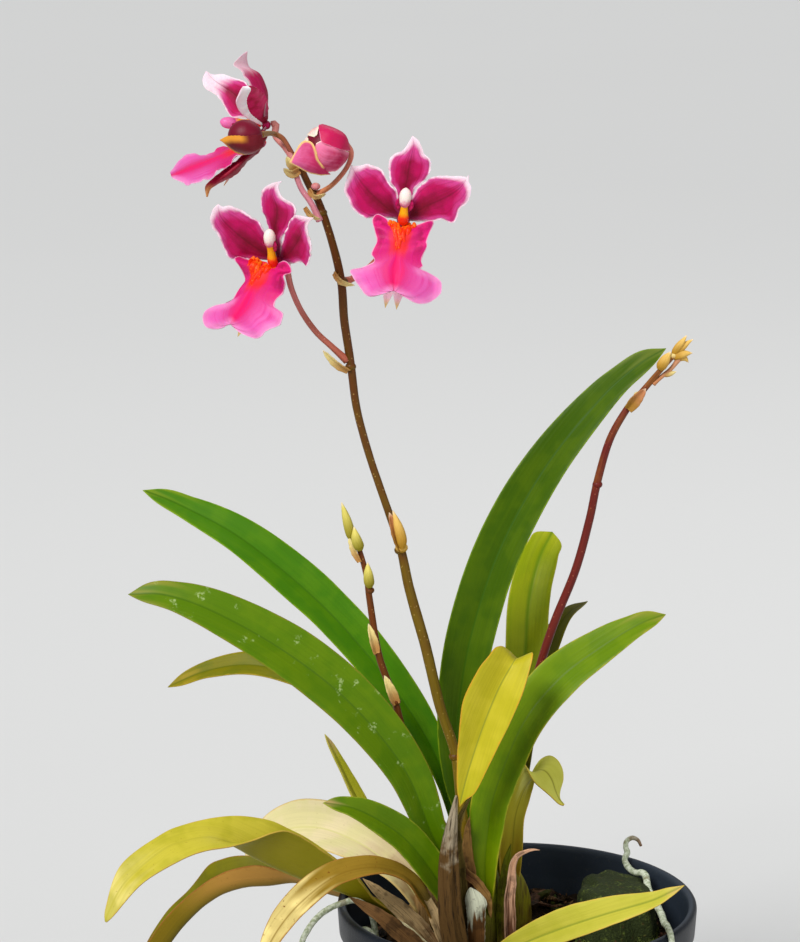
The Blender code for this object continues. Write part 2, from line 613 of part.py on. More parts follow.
def leaf(name, grow=0.0):
    part = LEAVES[name]
    path = [mm(*p) for p in part["path"]]
    rows = 10 if (path[-1] - path[0]).length > 80 * MM else 8
    obj = blade(name, path, part["width"] * MM, part["outline"], part["look"], fold=part["fold"], rows=rows,
                grow=grow)
    join(obj, [bulb(part["on"], GAP)], "DIFFERENCE")
    return finish(obj, name, part["colour"])


def sheath(name, grow=0.0):
    path, width, look, fold, _ = SHEATHS[name]
    return blade(name, [mm(*p) for p in path], width * MM, "sheath", look, fold=fold, rows=6, columns=2,
                 thick=SHEATH_THICK, grow=grow)


# Blooms: place of the receptacle in mm; yaw, pitch and roll in degrees; how far the dorsal sepal, the petals
# (left, right), lower sepals, column and lip lean forward, and how steeply the petals rise, in degrees; petal
# lengths in mm; the lip's length as a share, its slant and its side lobes' lift and reach in mm; how far the
# dorsal sepal turns its face, and how far the right petal turns its back outwards

BLOOMS = {
    "bloom_right": dict(
        at=(-38, -14, 337), turn=(-2, -2, 5.5), dorsal=4, petals=(5, 5), low=-2, column=0, lip=12, rise=(29, 30),
        long=(21, 22), reach=1, slant=-0.1, ears=(4.6, 1.2), face=0, turned=0,
    ),
    "bloom_left": dict(
        at=(-77.3, -12, 323.3), turn=(-36, 0, 9), dorsal=12, petals=(30, 24), low=2, column=12, lip=20,
        rise=(34, 46), long=(23, 21), reach=1.04, slant=0.22, ears=(4.6, 6.4), face=0, turned=0,
    ),
    "bloom_top": dict(
        at=(-82, 8, 364), turn=(-77, 0, 0), dorsal=14, petals=(48, 27), low=41, column=80, lip=51, rise=(53, 56),
        long=(23, 19), reach=1.2, slant=-0.22, ears=(-1.5, 0), face=0.35, turned=0.6,
    ),
}


def placed(at, turn):
    """The matrix of a flower or bud that stands at a place, turned by yaw, pitch and roll."""
    yaw, pitch, roll = (math.radians(a) for a in turn)
    turned = Matrix.Rotation(yaw, 4, "Z") @ Matrix.Rotation(pitch, 4, "X") @ Matrix.Rotation(roll, 4, "Y")
    return Matrix.Translation(mm(*at)) @ turned


def leaning(path, degrees):
    """Turns a path forward about the flower's middle: in the flower's plane at 0, along its axis at 90."""
    c, s = math.cos(math.radians(degrees)), math.sin(math.radians(degrees))
    turned = []
    for x, y, z in path:
        out = math.hypot(x, z)
        shrink = (c * out + s * y) / out if out > 1e-6 else 1
        turned.append((x * shrink, y * c - s * out, z * shrink))
    return turned


def petal_path(side, length, rise):
    """A petal's middle line: out and up from the receptacle, bowed forward, its end turned up and back."""
    c, s = math.cos(math.radians(rise)), math.sin(math.radians(rise))
    path = [(0.7 * side, 0.2, 0.4)]
    for share, up, forward in ((0.35, -0.4, 1.2), (0.7, -0.2, 1.0), (1, 1.8, -0.8)):
        reach = length * share
        path.append((side * (0.7 + reach * c - up * s), -forward, 0.4 + reach * s + up * c))
    return path


def tepals(name):
    """Dorsal sepal, two petals and two lower sepals, all grown from the receptacle."""
    how = BLOOMS[name]
    front = ((0, -1, 0), (0, -1, 0.2))
    right_look = ((-0.3 * how["turned"], -1, 0), (-1.4 * how["turned"], -1, 0.2))
    dorsal = leaning(((0, 0.3, 0.8), (0.1, 0, 9), (0.2, -0.6, 18), (0.4, 0.6, 26.4)), how["dorsal"])
    left, right = (leaning(petal_path(side, long, rise), lean)
                   for side, long, rise, lean in zip((-1, 1), how["long"], how["rise"], how["petals"]))
    low = ((-0.4, 0.5, -0.7), (-1.6, 1.0, -9), (-2.2, 1.2, -18), (-2.6, 2.2, -28.5))
    low_left, low_right = leaning(low, how["low"]), leaning([(-x, y, z) for x, y, z in low], how["low"])
    parts = [
        (dorsal, 13.4, "dorsal", ((0, -1, 0), (how["face"], -1, 0.2)), 0.35, 7, 4),
        (left, 15, ("petal_lower", "petal_upper"), front, 0.25, 6, 4),
        (right, 15, ("petal_upper", "petal_lower"), right_look, 0.25, 6, 4),
        (low_left, 4.2, "narrow", ((0, -1, 0), (0.3, -1, 0)), 0.6, 5, 2),
        (low_right, 4.2, "narrow", ((0, -1, 0), (-0.3, -1, 0)), 0.6, 5, 2),
    ]
    made = [blade("tepal", [mm(*p) for p in path], width * MM, outline, look, cup=cup, rows=rows,
                  columns=columns, thick=TEPAL_THICK, wave=0.4 * MM if width > 6 else 0, waves=2.4, crowd=1.05)
            for path, width, outline, look, cup, rows, columns in parts]
    knob = ball("receptacle", (0, 0, 0), (RECEPTACLE,) * 3, 8, 6)
    return finish(join(knob, made), name + "_tepals", "tepal")


def lip(name):
    """The lip: ear-like side lobes at the top, a waist, and a broad two-lobed apron, with a ridged crest."""
    how = BLOOMS[name]
    s = np.array(LIP_ROWS)[:, None]
    t = np.linspace(-1, 1, 7)[None, :]
    x = through(LIP_WIDTH, s) * t
    ear = np.abs(t) ** 1.6 * np.exp(-(((s - 0.13) / 0.12) ** 2))
    notch = s**6 * (3.0 * np.exp(-((t / 0.25) ** 2)) + 2.2 * np.abs(t) ** 4)
    flare = 1.6 * np.abs(t) ** 2.5 * np.exp(-(((s - 0.66) / 0.12) ** 2))
    down = (through(LIP_DOWN, s) - 1.8) * how["reach"] - how["ears"][0] * ear - notch - flare
    droop = 1.4 * np.abs(t) ** 2 * (0.4 + s) + 0.6 * np.abs(t) ** 3 * np.sin(17 * s + 1.5 * np.sign(t))
    ahead = through(LIP_FORWARD, s) - 2.9 - droop + how["ears"][1] * ear
    angle = math.radians(how["lip"])
    y = -2.9 - ahead * math.cos(angle) - down * math.sin(angle)
    z = -1.8 - down * math.cos(angle) + ahead * math.sin(angle) + how["slant"] * x * s
    grid = np.stack([x, y, z], axis=2) * MM
    rows, columns = len(LIP_ROWS) - 1, t.shape[1] - 1
    faces = []
    for i in range(rows):
        for j in range(columns):
            a = i * (columns + 1) + j
            b, c, d = a + 1, a + columns + 2, a + columns + 1
            faces += [(a, b, c), (a, c, d)] if j < columns / 2 else [(a, b, d), (b, c, d)]
    apron = thicken(mesh_object("lip", grid.reshape(-1, 3), faces), TEPAL_THICK)
    crest = []
    for offset in (-1.2, 1.2):
        path = [Vector(grid[i, columns // 2]) + mm(offset * (1.1 - 0.12 * i), -0.5, 0) for i in (2, 3, 4)]
        crest.append(tube("ridge", path, [0.5 * MM, 0.9 * MM, 0.4 * MM], sides=5, rows=3))
    return finish(join(apron, crest), name + "_lip", "lip")


def column(name):
    """The column with its hooded tip."""
    angle = math.radians(BLOOMS[name]["column"])
    path = [mm(0, -2.8, 0.2)]
    for y, z in ((0, 0), (-0.6, 2.6), (-0.9, 6), (-1.0, 10.6)):
        ahead = -y * math.cos(angle) + z * math.sin(angle)
        up = z * math.cos(angle) + y * math.sin(angle)
        path.append(mm(0, -3.9 - ahead, 1.0 + up))
    radii = [1.1 * MM, 1.5 * MM, 1.4 * MM, 2.0 * MM, 1.2 * MM]
    obj = tube("column", path, radii, sides=7, rows=6, section=(1, 0.9, 0, 0))
    return finish(obj, name + "_column", "column")


def bloom(name):
    """One open flower on its own empty, which stands at the receptacle and faces as the flower does."""
    holder = bpy.data.objects.new(name, None)
    bpy.context.scene.collection.objects.link(holder)
    holder.matrix_world = placed(BLOOMS[name]["at"], BLOOMS[name]["turn"])
    for piece in (tepals(name), lip(name), column(name)):
        piece.parent = holder


# Buds

OPENING_BUD = dict(at=(-62.5, -16, 359.6), turn=(-22, -18, 0), radius=7.2)
CLOSED_BUD = dict(at=(-89.5, -17.5, 363.5), turn=(-84, 6, 0), radius=4.8)


def cupped_tepal(radius, around, reach, width, long=1.0):
    """A tepal that hugs a ball, from behind it to reach degrees round towards its front."""
    path = []
    for k in range(6):
        a = math.radians(25 + (reach - 25) * k / 5)
        out = radius * math.sin(a)
        path.append(Vector((out * math.cos(around), radius * long * math.cos(a), out * math.sin(around))) * MM)
    look = (-math.cos(around), 0, -math.sin(around))
    looks = ((0.3 * look[0], -1, 0.3 * look[2]), (look[0], 0.6, look[2]))
    return blade("tepal", path, width * MM, "cupped", looks, cup=0.9, rows=4, columns=4, thick=0.9 * MM)


def bud_opening():
    """A bud about to open: overlapping cupped tepals round a ball, a small mouth and one tip standing out."""
    radius = OPENING_BUD["radius"]
    core = ball("core", (0, 0, 0), (radius * MM, radius * 1.02 * MM, radius * MM), 10, 8)
    mouth = ball("mouth", (-1.5 * MM, -(radius + 0.4) * MM, 1.5 * MM), mm(2.8, 4.4, 2.4), 8, 6)
    join(core, [mouth], "DIFFERENCE")
    wraps = [cupped_tepal(radius + 0.15, math.radians(a), reach, 12.5) for a, reach in
             ((88, 146), (12, 150), (165, 142), (300, 152))]
    tip = [mm(*p) for p in ((-2, -4.2, -5.6), (-5.2, -5.6, -4.6), (-8.6, -6.6, -3.6), (-12, -6.8, -3.4))]
    wraps.append(blade("tepal", tip, 9 * MM, "short", ((-0.3, -1, 0.5), (-0.1, -1, 0.9)), fold=(30, 40), rows=4,
                       columns=4, thick=0.9 * MM, crowd=1.1))
    obj = finish(join(core, wraps), "bud_opening", "tepal")
    obj.matrix_world = placed(OPENING_BUD["at"], OPENING_BUD["turn"])


def bud_closed():
    """The last, still closed bud at the tip of the spike, with three sepal edges showing."""
    radius = CLOSED_BUD["radius"]
    core = ball("core", (0, 0, 0), (radius * 0.97 * MM, radius * 1.2 * MM, radius * 1.0 * MM), 10, 7)
    wraps = [cupped_tepal(radius + 0.1, math.radians(a), 160, 9, long=1.2) for a in (90, 325)]
    obj = finish(join(core, wraps), "bud_closed", "tepal")
    obj.matrix_world = placed(CLOSED_BUD["at"], CLOSED_BUD["turn"])


# Flower spikes


def behind(matrix, reach):
    """The point on a flower's axis that its stalk comes to, and one further back along it."""
    end, before = matrix @ Vector((0, reach, 0)), matrix @ Vector((0, reach + 4 * MM, 0))
    return before, end


def bract(base, tip, look, width=4.2):
    middle = (base + tip) / 2
    return blade("bract", [base, middle, tip], width * MM, "sheath", (look, look), fold=(45, 30), rows=2,
                 columns=2, thick=SHEATH_THICK)


def stem(points, radii, rows, sides=STEM_SIDES):
    return tube("stem", [mm(*p) for p in points], [r * MM for r in radii], rows=rows, sides=sides)


def stalk(points, matrix, reach, rows):
    """A flower's stalk: from the spike through the points to the back of the flower."""
    before, end = behind(matrix, reach)
    return tube("stalk", [*(mm(*p) for p in points), before, end], [0.95 * MM, 0.85 * MM, 0.9 * MM, 1.05 * MM],
                sides=6, rows=rows)


def node_ring(x, y, z, radius):
    return ball("node", mm(x, y, z), (radius * MM, radius * MM, radius * 0.8 * MM), 6, 4)


def spike_main():
    """The flowering spike: arching stem, joints with bracts, and a stalk to each flower."""
    path = ((-15, -8, 107), (-15.4, -11.2, 116), (-16.8, -11.8, 128), (-19, -11, 142), (-21, -9.5, 159),
            (-26, -9, 175), (-31, -8, 196), (-36, -7, 214), (-39, -6, 228), (-44, -5, 243), (-49, -4, 258),
            (-53, -3, 273), (-55, -2, 288), (-57, -2, 302), (-58, -2, 315), (-61, -1, 328), (-65, 0, 340),
            (-68, 1.5, 345), (-70.5, 3, 350), (-73, 4, 355))
    body = stem(path, (1.5, 1.6, 1.6, 1.5, 1.5, 1.45, 1.3, 1.1), 26)
    knob = RECEPTACLE + 0.35 * MM
    stalks = [
        stalk(((-72, 3, 353), (-75, 3.5, 358), (-77.5, 1.5, 361), (-79.5, -5, 362.5), (-81, -11, 363)),
              placed(CLOSED_BUD["at"], CLOSED_BUD["turn"]), (CLOSED_BUD["radius"] * 1.2 + 0.6) * MM, 8),
        stalk(((-55, -2, 287), (-60, -3, 291), (-65, -4, 297), (-69, -4, 302), (-72, -4, 309), (-73, -4, 315)),
              placed(BLOOMS["bloom_left"]["at"], BLOOMS["bloom_left"]["turn"]), knob, 9),
        stalk(((-57.5, -2, 315), (-54, 1, 315.5), (-47, 1, 321), (-41, -2, 331)),
              placed(BLOOMS["bloom_right"]["at"], BLOOMS["bloom_right"]["turn"]), knob, 8),
        stalk(((-64, -0.5, 337), (-67.5, -3, 343), (-70.8, -3.5, 348), (-72.5, -2.5, 352), (-75, 1, 358),
               (-76.5, 5, 362)),
              placed(BLOOMS["bloom_top"]["at"], BLOOMS["bloom_top"]["turn"]), knob, 9),
        stalk(((-65.5, 0.5, 342), (-63.5, -3, 343.5), (-60, -6, 346.5), (-57, -7.5, 351)),
              placed(OPENING_BUD["at"], OPENING_BUD["turn"]), (OPENING_BUD["radius"] * 1.02 + 1.1) * MM, 7),
    ]
    joints = [node_ring(-39, -6, 227, 2.1), node_ring(-55, -2, 287, 2.1), node_ring(-57.5, -2, 315, 2.0),
              node_ring(-64, -0.5, 337, 1.9), node_ring(-66, 0.5, 343, 1.9), node_ring(-21, -9.5, 158, 2.2),
              node_ring(-66.2, -1.6, 344, 1.5)]
    bracts = [
        bract(mm(-38.5, -7.5, 227), mm(-41.5, -9.5, 241), (0.4, 1, 0), 6),
        bract(mm(-56, -3, 286), mm(-63, -5, 292), (0.3, 0.5, 1), 4),
        bract(mm(-57, -3, 314), mm(-51, -4, 312), (0, 0.3, 1), 4),
        bract(mm(-65, -1, 336), mm(-70, -4.5, 341), (0.5, 0.8, 0.6), 4),
        bract(mm(-66, -0.5, 342), mm(-61, -4.5, 341.5), (0, 0.3, 1), 4),
        bract(mm(-72, 3, 351), mm(-77, -0.5, 353), (0.3, 0, 1), 5),
    ]
    join(body, stalks + joints + bracts)
    join(body, [bulb("bulb_main", GAP)], "DIFFERENCE")
    return finish(body, "spike_main", "stem_brown")


def spike_short():
    """A young spike on the left with closed buds in its bracts."""
    path = ((-17, -3, 106), (-23.5, -3, 114), (-27, -2.5, 130), (-32, -4, 146), (-37, -6, 161), (-41, -7, 177),
            (-46, -8, 192), (-49, -8, 211), (-50, -8, 219), (-53, -8, 230), (-56, -8, 238))
    body = stem(path, (1.2, 1.3, 1.25, 1.2, 1.1, 0.8), 15)
    extras = [node_ring(-41, -7, 177, 1.7), node_ring(-49, -8, 210, 1.6)]
    buds = (((-50, -9.4, 218), (1.9, 1.9, 3.6), 2), ((-54, -9, 231.5), (2.3, 2.1, 4.4), 16),
            ((-57, -8, 240), (1.9, 1.7, 4.6), 16))
    for centre, radii, tilt in buds:
        bud = ball("bud", (0, 0, 0), mm(*radii), 6, 5)
        bud.data.transform(Matrix.Translation(mm(*centre)) @ Matrix.Rotation(math.radians(-tilt), 4, "Y"))
        extras.append(bud)
    extras += [
        bract(mm(-42, -8, 176), mm(-45, -10, 187), (0.3, 1, 0), 4.2),
        bract(mm(-51, -8, 224), mm(-56, -8.5, 233), (1, 0.2, 0.3), 3.6),
        bract(mm(-56, -8, 238), mm(-59, -8, 245.5), (0.4, 1, 0.2), 3.0),
    ]
    join(body, extras)
    join(body, [bulb("bulb_main", GAP)], "DIFFERENCE")
    return finish(body, "spike_short", "stem_brown")


def spike_right():
    """The reddish spike on the right, ending in a cluster of small pale buds."""
    path = ((-5.5, 11, 106), (-9, 5.4, 117), (-8.5, 4.6, 130), (-3.5, 6, 146), (3, 9.5, 165), (7, 12, 181),
            (12, 13, 197), (19, 14, 215), (23.5, 15, 232), (26, 15, 245), (30, 16, 259), (35, 16, 269),
            (40, 17, 276), (45, 17, 282), (50, 17.5, 287))
    body = stem(path, (1.1, 1.2, 1.2, 1.15, 1.1, 1.1, 0.9), 20)
    extras = [node_ring(40, 17, 275.5, 1.7), node_ring(26, 15, 244, 1.45)]
    buds = (((46.5, 16.5, 286), (1.9, 1.7, 2.9), 30), ((52.6, 17.8, 290), (1.4, 1.4, 4.2), 40),
            ((53, 17.8, 286.5), (1.4, 1.4, 4.0), 80), ((48, 17.3, 282), (1.3, 1.3, 4.4), 52))
    for centre, radii, tilt in buds:
        bud = ball("bud", (0, 0, 0), mm(*radii), 6, 5)
        bud.data.transform(Matrix.Translation(mm(*centre)) @ Matrix.Rotation(math.radians(tilt), 4, "Y"))
        extras.append(bud)
    extras += [
        bract(mm(39.7, 16.5, 275), mm(44, 15.5, 281), (-0.5, 1, 0.6), 4.2),
        bract(mm(54, 18, 291.5), mm(56.5, 18, 296), (0, -1, 0.2), 2.4),
        bract(mm(54, 18.5, 290.5), mm(59, 19, 294), (0, -1, 0.2), 2.4),
        bract(mm(55, 18.5, 286), mm(59, 19, 287.5), (0, -1, 0.2), 2.4),
        bract(mm(55, 18.5, 285.5), mm(57.5, 19, 283), (0, -1, 0.2), 2.4),
        bract(mm(50, 18.5, 282.5), mm(53.5, 19, 281.5), (0, -1, 0.2), 2.4),
    ]
    join(body, extras)
    join(body, [bulb("bulb_back", GAP)], "DIFFERENCE")
    return finish(body, "spike_right", "stem_red")


# Aerial roots: path in mm, radii in mm

ROOTS = {
    "root_left": (((-46.8, -9, 84), (-47, -9, 95), (-49, -11, 104.5), (-53, -12.8, 109), (-58, -15, 109.2),
                   (-65, -21, 107.5), (-70, -26, 102.5), (-72, -28, 96), (-73, -29, 84), (-72, -30, 72)),
                  (1.0, 1.0, 1.0, 0.9, 0.8)),
    "root_loop": (((-44, -18, 84), (-46, -20, 94), (-49, -18, 100), (-52, -14, 99), (-51, -10, 94),
                   (-47, -4, 84)),
                  (1.0, 1.1, 1.1, 1.0)),
    "root_right": (((44, 44, 109), (42.5, 44.5, 111.5), (39.5, 43.5, 111), (38.5, 40, 108), (38.5, 35, 106),
                    (40.5, 30, 104.5), (44, 26, 104.5), (45, 19, 102.5), (46.5, 4, 102), (48, -9, 102.5),
                    (48.3, -20, 103.5), (48.6, -29, 106), (49.5, -33.2, 106.2), (50.4, -35, 104.5),
                    (50.6, -35.4, 99), (50.4, -35.6, 92)),
                   (0.6, 0.9, 0.95, 0.95, 0.9, 0.85)),
}


def root(name, grow=0.0):
    path, radii = ROOTS[name]
    rows = int(1.5 * len(path))
    return tube(name, [mm(*p) for p in path], [r * MM for r in radii], sides=6, rows=rows, grow=grow)


def main():
    for old in list(bpy.data.objects):
        bpy.data.objects.remove(old)
    pot()
    standing = [bulb(name, GAP) for name in BULBS]
    standing += [sheath(name, GAP) for name in SHEATHS]
    standing += [rhizome(GAP), moss_mound(2 * GAP), *(root(name, GAP) for name in ROOTS)]
    substrate(standing)
    moss = moss_mound()
    join(moss, [root("root_right", GAP)], "DIFFERENCE")
    finish(moss, "moss_mound", "moss")
    stem_under = rhizome()
    join(stem_under, [bulb(name, GAP) for name in BULBS], "DIFFERENCE")
    finish(stem_under, "rhizome", "rhizome")
    for name, (_, _, _, colour) in BULBS.items():
        finish(bulb(name), name, colour)
    for name in LEAVES:
        leaf(name)
    for name, (_, _, _, _, colour) in SHEATHS.items():
        finish(sheath(name), name, colour)
    for name in BLOOMS:
        bloom(name)
    bud_opening()
    bud_closed()
    spike_main()
    spike_short()
    spike_right()
    for name in ROOTS:
        finish(root(name), name, "root")


main()
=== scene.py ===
import math

import bpy
import numpy as np
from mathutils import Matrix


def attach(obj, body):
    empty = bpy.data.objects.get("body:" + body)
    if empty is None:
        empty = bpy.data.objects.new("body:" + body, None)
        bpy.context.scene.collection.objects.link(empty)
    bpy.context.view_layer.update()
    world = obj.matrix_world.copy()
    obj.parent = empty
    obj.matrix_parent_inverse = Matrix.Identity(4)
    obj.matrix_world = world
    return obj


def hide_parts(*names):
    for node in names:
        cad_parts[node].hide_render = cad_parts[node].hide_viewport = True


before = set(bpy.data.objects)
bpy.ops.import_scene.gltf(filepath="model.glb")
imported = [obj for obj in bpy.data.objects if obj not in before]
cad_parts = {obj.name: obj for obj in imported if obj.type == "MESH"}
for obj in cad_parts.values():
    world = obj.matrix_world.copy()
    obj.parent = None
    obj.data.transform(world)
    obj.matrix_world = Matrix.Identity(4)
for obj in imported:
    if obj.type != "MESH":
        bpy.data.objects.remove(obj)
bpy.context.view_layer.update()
print("frame loaded:", len(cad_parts), "nodes")

mm = 0.001  # every length below is in millimetres until it goes into a mesh


# Camera, light and floor

studio = dict(
    target=(-39.1, 0, 252),  # what the camera looks at
    distance=1200,
    elevation=13,  # degrees above the plant
    lens=140.98,
    floorColour=(0.66, 0.66, 0.65),
    worldColour=(0.95, 0.97, 1, 1),
    worldLight=0.36,
    # A broad, distant light, its softness in degrees
    key=dict(away=(-0.75, -1.15, 1.3), strength=3.0, softness=24),
    lamps=(  # place, size and watts of each soft box
        ((1000, -900, 700), 900, 3),
        ((300, 900, 1300), 800, 3),
    ),
)


# A new object in the scene
def newObject(name, data):
    obj = bpy.data.objects.new(name, data)
    bpy.context.scene.collection.objects.link(obj)
    return obj


# The turn that points a lamp from a direction back at the middle
def aimedFrom(x, y, z):
    return (math.atan2(math.hypot(x, y), z), 0, math.atan2(y, x) + math.pi / 2)


# The camera looks at the target from its distance, tilted down by the elevation
def makeCamera():
    tilt = math.radians(studio["elevation"])
    camera = newObject("camera", bpy.data.cameras.new("camera"))
    x, y, z = studio["target"]
    reach = studio["distance"]
    camera.location = (x * mm, (y - reach * math.cos(tilt)) * mm, (z + reach * math.sin(tilt)) * mm)
    camera.rotation_euler = (math.pi / 2 - tilt, 0, 0)
    camera.data.lens = studio["lens"]
    camera.data.sensor_width = 36
    camera.data.clip_end = 100
    bpy.context.scene.camera = camera


# The sky, the sun and the soft boxes, each pointed at the target
def makeLamps():
    world = bpy.data.worlds.new("studio")
    bpy.context.scene.world = world
    bpy.context.scene.view_settings.view_transform = "Standard"
    world.use_nodes = True
    sky = world.node_tree.nodes["Background"].inputs
    sky["Color"].default_value, sky["Strength"].default_value = studio["worldColour"], studio["worldLight"]
    key = studio["key"]
    sun = bpy.data.lights.new("key", "SUN")
    sun.energy, sun.angle = key["strength"], math.radians(key["softness"])
    newObject("key", sun).rotation_euler = aimedFrom(*key["away"])
    middle = np.array(studio["target"])
    for number, (place, size, watts) in enumerate(studio["lamps"]):
        lamp = bpy.data.lights.new(f"softBox{number}", "AREA")
        lamp.size = size * mm
        lamp.energy = watts
        holder = newObject(f"softBox{number}", lamp)
        holder.location = [c * mm for c in place]
        holder.rotation_euler = aimedFrom(*(np.array(place) - middle))


# Curves and frames


# A smooth curve through (place, value) pairs, read at x: cubic pieces that share the mean slope at each pair
def through(pairs, x):
    places, values = np.array(pairs, float).T
    slopes = np.gradient(values, places)
    x = np.clip(x, places[0], places[-1])
    i = np.clip(np.searchsorted(places, x, side="right") - 1, 0, len(places) - 2)
    width = places[i + 1] - places[i]
    u = (x - places[i]) / width
    return (
        (2 * u**3 - 3 * u**2 + 1) * values[i]
        + (u**3 - 2 * u**2 + u) * width * slopes[i]
        + (3 * u**2 - 2 * u**3) * values[i + 1]
        + (u**3 - u**2) * width * slopes[i + 1]
    )


# Points at the given shares of the length of a Catmull-Rom curve through the path's points, and that length
def smoothLine(path, shares):
    p = np.array(path, float)
    p = np.vstack([2 * p[0] - p[1], p, 2 * p[-1] - p[-2]])
    u = np.linspace(0, 1, 24, endpoint=False)[:, None, None]
    a, b, c, d = p[:-3], p[1:-2], p[2:-1], p[3:]
    dense = 0.5 * (2 * b + (c - a) * u + (2 * a - 5 * b + 4 * c - d) * u**2 + (3 * b - a - 3 * c + d) * u**3)
    dense = np.vstack([dense.transpose(1, 0, 2).reshape(-1, 3), p[-2:-1]])
    gone = np.concatenate([[0], np.cumsum(np.linalg.norm(np.diff(dense, axis=0), axis=1))])
    return np.column_stack([np.interp(shares * gone[-1], gone, dense[:, k]) for k in range(3)]), gone[-1]


# Vectors divided by their length
def unit(v):
    return v / np.maximum(np.linalg.norm(v, axis=-1, keepdims=True), 1e-12)


# An irregular drift between about -1 and 1: four sines of x, each faster and weaker, with seeded rates and
# phases
def wander(x, seed, rate=1.0):
    rng = np.random.default_rng(seed)
    k = 1 + np.arange(4)
    rates, phases = rate * k * rng.uniform(0.7, 1.3, 4), rng.uniform(0, 6.28, 4)
    return (np.sin(6.2832 * rates * np.asarray(x)[..., None] + phases) / k).sum(-1) / 2.1


# The same for two coordinates: products of sines
def wander2(x, y, seed, rate=1.0):
    rng = np.random.default_rng(seed)
    total = 0
    for k in range(1, 5):
        a, b, c = rng.uniform(0, 6.28, 4)[:3]
        turned = x * math.cos(a) + y * math.sin(a)
        across = y * math.cos(a) - x * math.sin(a)
        total = total + np.sin(rate * k * turned + b) * np.cos(rate * k * across * 0.83 + c) / k
    return total / 1.6


# Points turned by yaw about Z, pitch about X and roll about Y, in that order from outside in, and moved to a
# place
def placed(points, at, turn):
    yaw, pitch, roll = (math.radians(a) for a in turn)
    aboutZ = np.array([[math.cos(yaw), -math.sin(yaw), 0], [math.sin(yaw), math.cos(yaw), 0], [0, 0, 1]])
    aboutX = np.array([[1, 0, 0], [0, math.cos(pitch), -math.sin(pitch)],
                       [0, math.sin(pitch), math.cos(pitch)]])
    aboutY = np.array([[math.cos(roll), 0, math.sin(roll)], [0, 1, 0], [-math.sin(roll), 0, math.cos(roll)]])
    return np.asarray(points, float) @ (aboutZ @ aboutX @ aboutY).T + np.array(at, float)


# Solids: each is a dict of points, faces grouped by their number of corners, and two marks a point.
# spot is (across from -1 to 1, along from 0 to 1, 1 on the under side) and reach is (mm from the middle line,
# mm along it, mm from the margin)


# Faces turned outwards: the sum of a . (b x c) over the triangles is six times the volume they enclose
def facingOut(points, faces):
    total = 0
    for group in faces:
        for k in range(1, group.shape[1] - 1):
            a, b, c = points[group[:, 0]], points[group[:, k]], points[group[:, k + 1]]
            total += np.einsum("ij,ij->", a - points[0], np.cross(b - points[0], c - points[0]))
    return faces if total > 0 else [group[:, ::-1] for group in faces]


# Three values for each point, side by side
def triple(a, b, c):
    return np.stack(np.broadcast_arrays(a, b, c), axis=-1)


# Faces over a stack of rings: quads between neighbours, and a fan from each end ring to a middle point
def skin(rows, n):
    index = np.arange(rows * n).reshape(rows, n)
    after = np.roll(index, -1, axis=1)
    quads = np.stack([index[:-1], after[:-1], after[1:], index[1:]], axis=-1).reshape(-1, 4)
    low, high = np.full(n, rows * n), np.full(n, rows * n + 1)
    fans = np.column_stack([after[0], index[0], low]), np.column_stack([index[-1], after[-1], high])
    return [quads, np.vstack(fans)]


# A closed solid over a stack of rings, with marks for each ring point and given or mean middle points at the
# ends
def closed(rings, spot, reach, first=None, last=None, paint=0):
    first = rings[0].mean(0) if first is None else first
    last = rings[-1].mean(0) if last is None else last
    points = np.vstack([rings.reshape(-1, 3), [first], [last]])
    marks = [np.vstack([m.reshape(-1, 3), m[0].mean(0), m[-1].mean(0)]) for m in (spot, reach)]
    faces = facingOut(points, skin(*rings.shape[:2]))
    return dict(points=points, faces=faces, spot=marks[0], reach=marks[1], paint=paint)


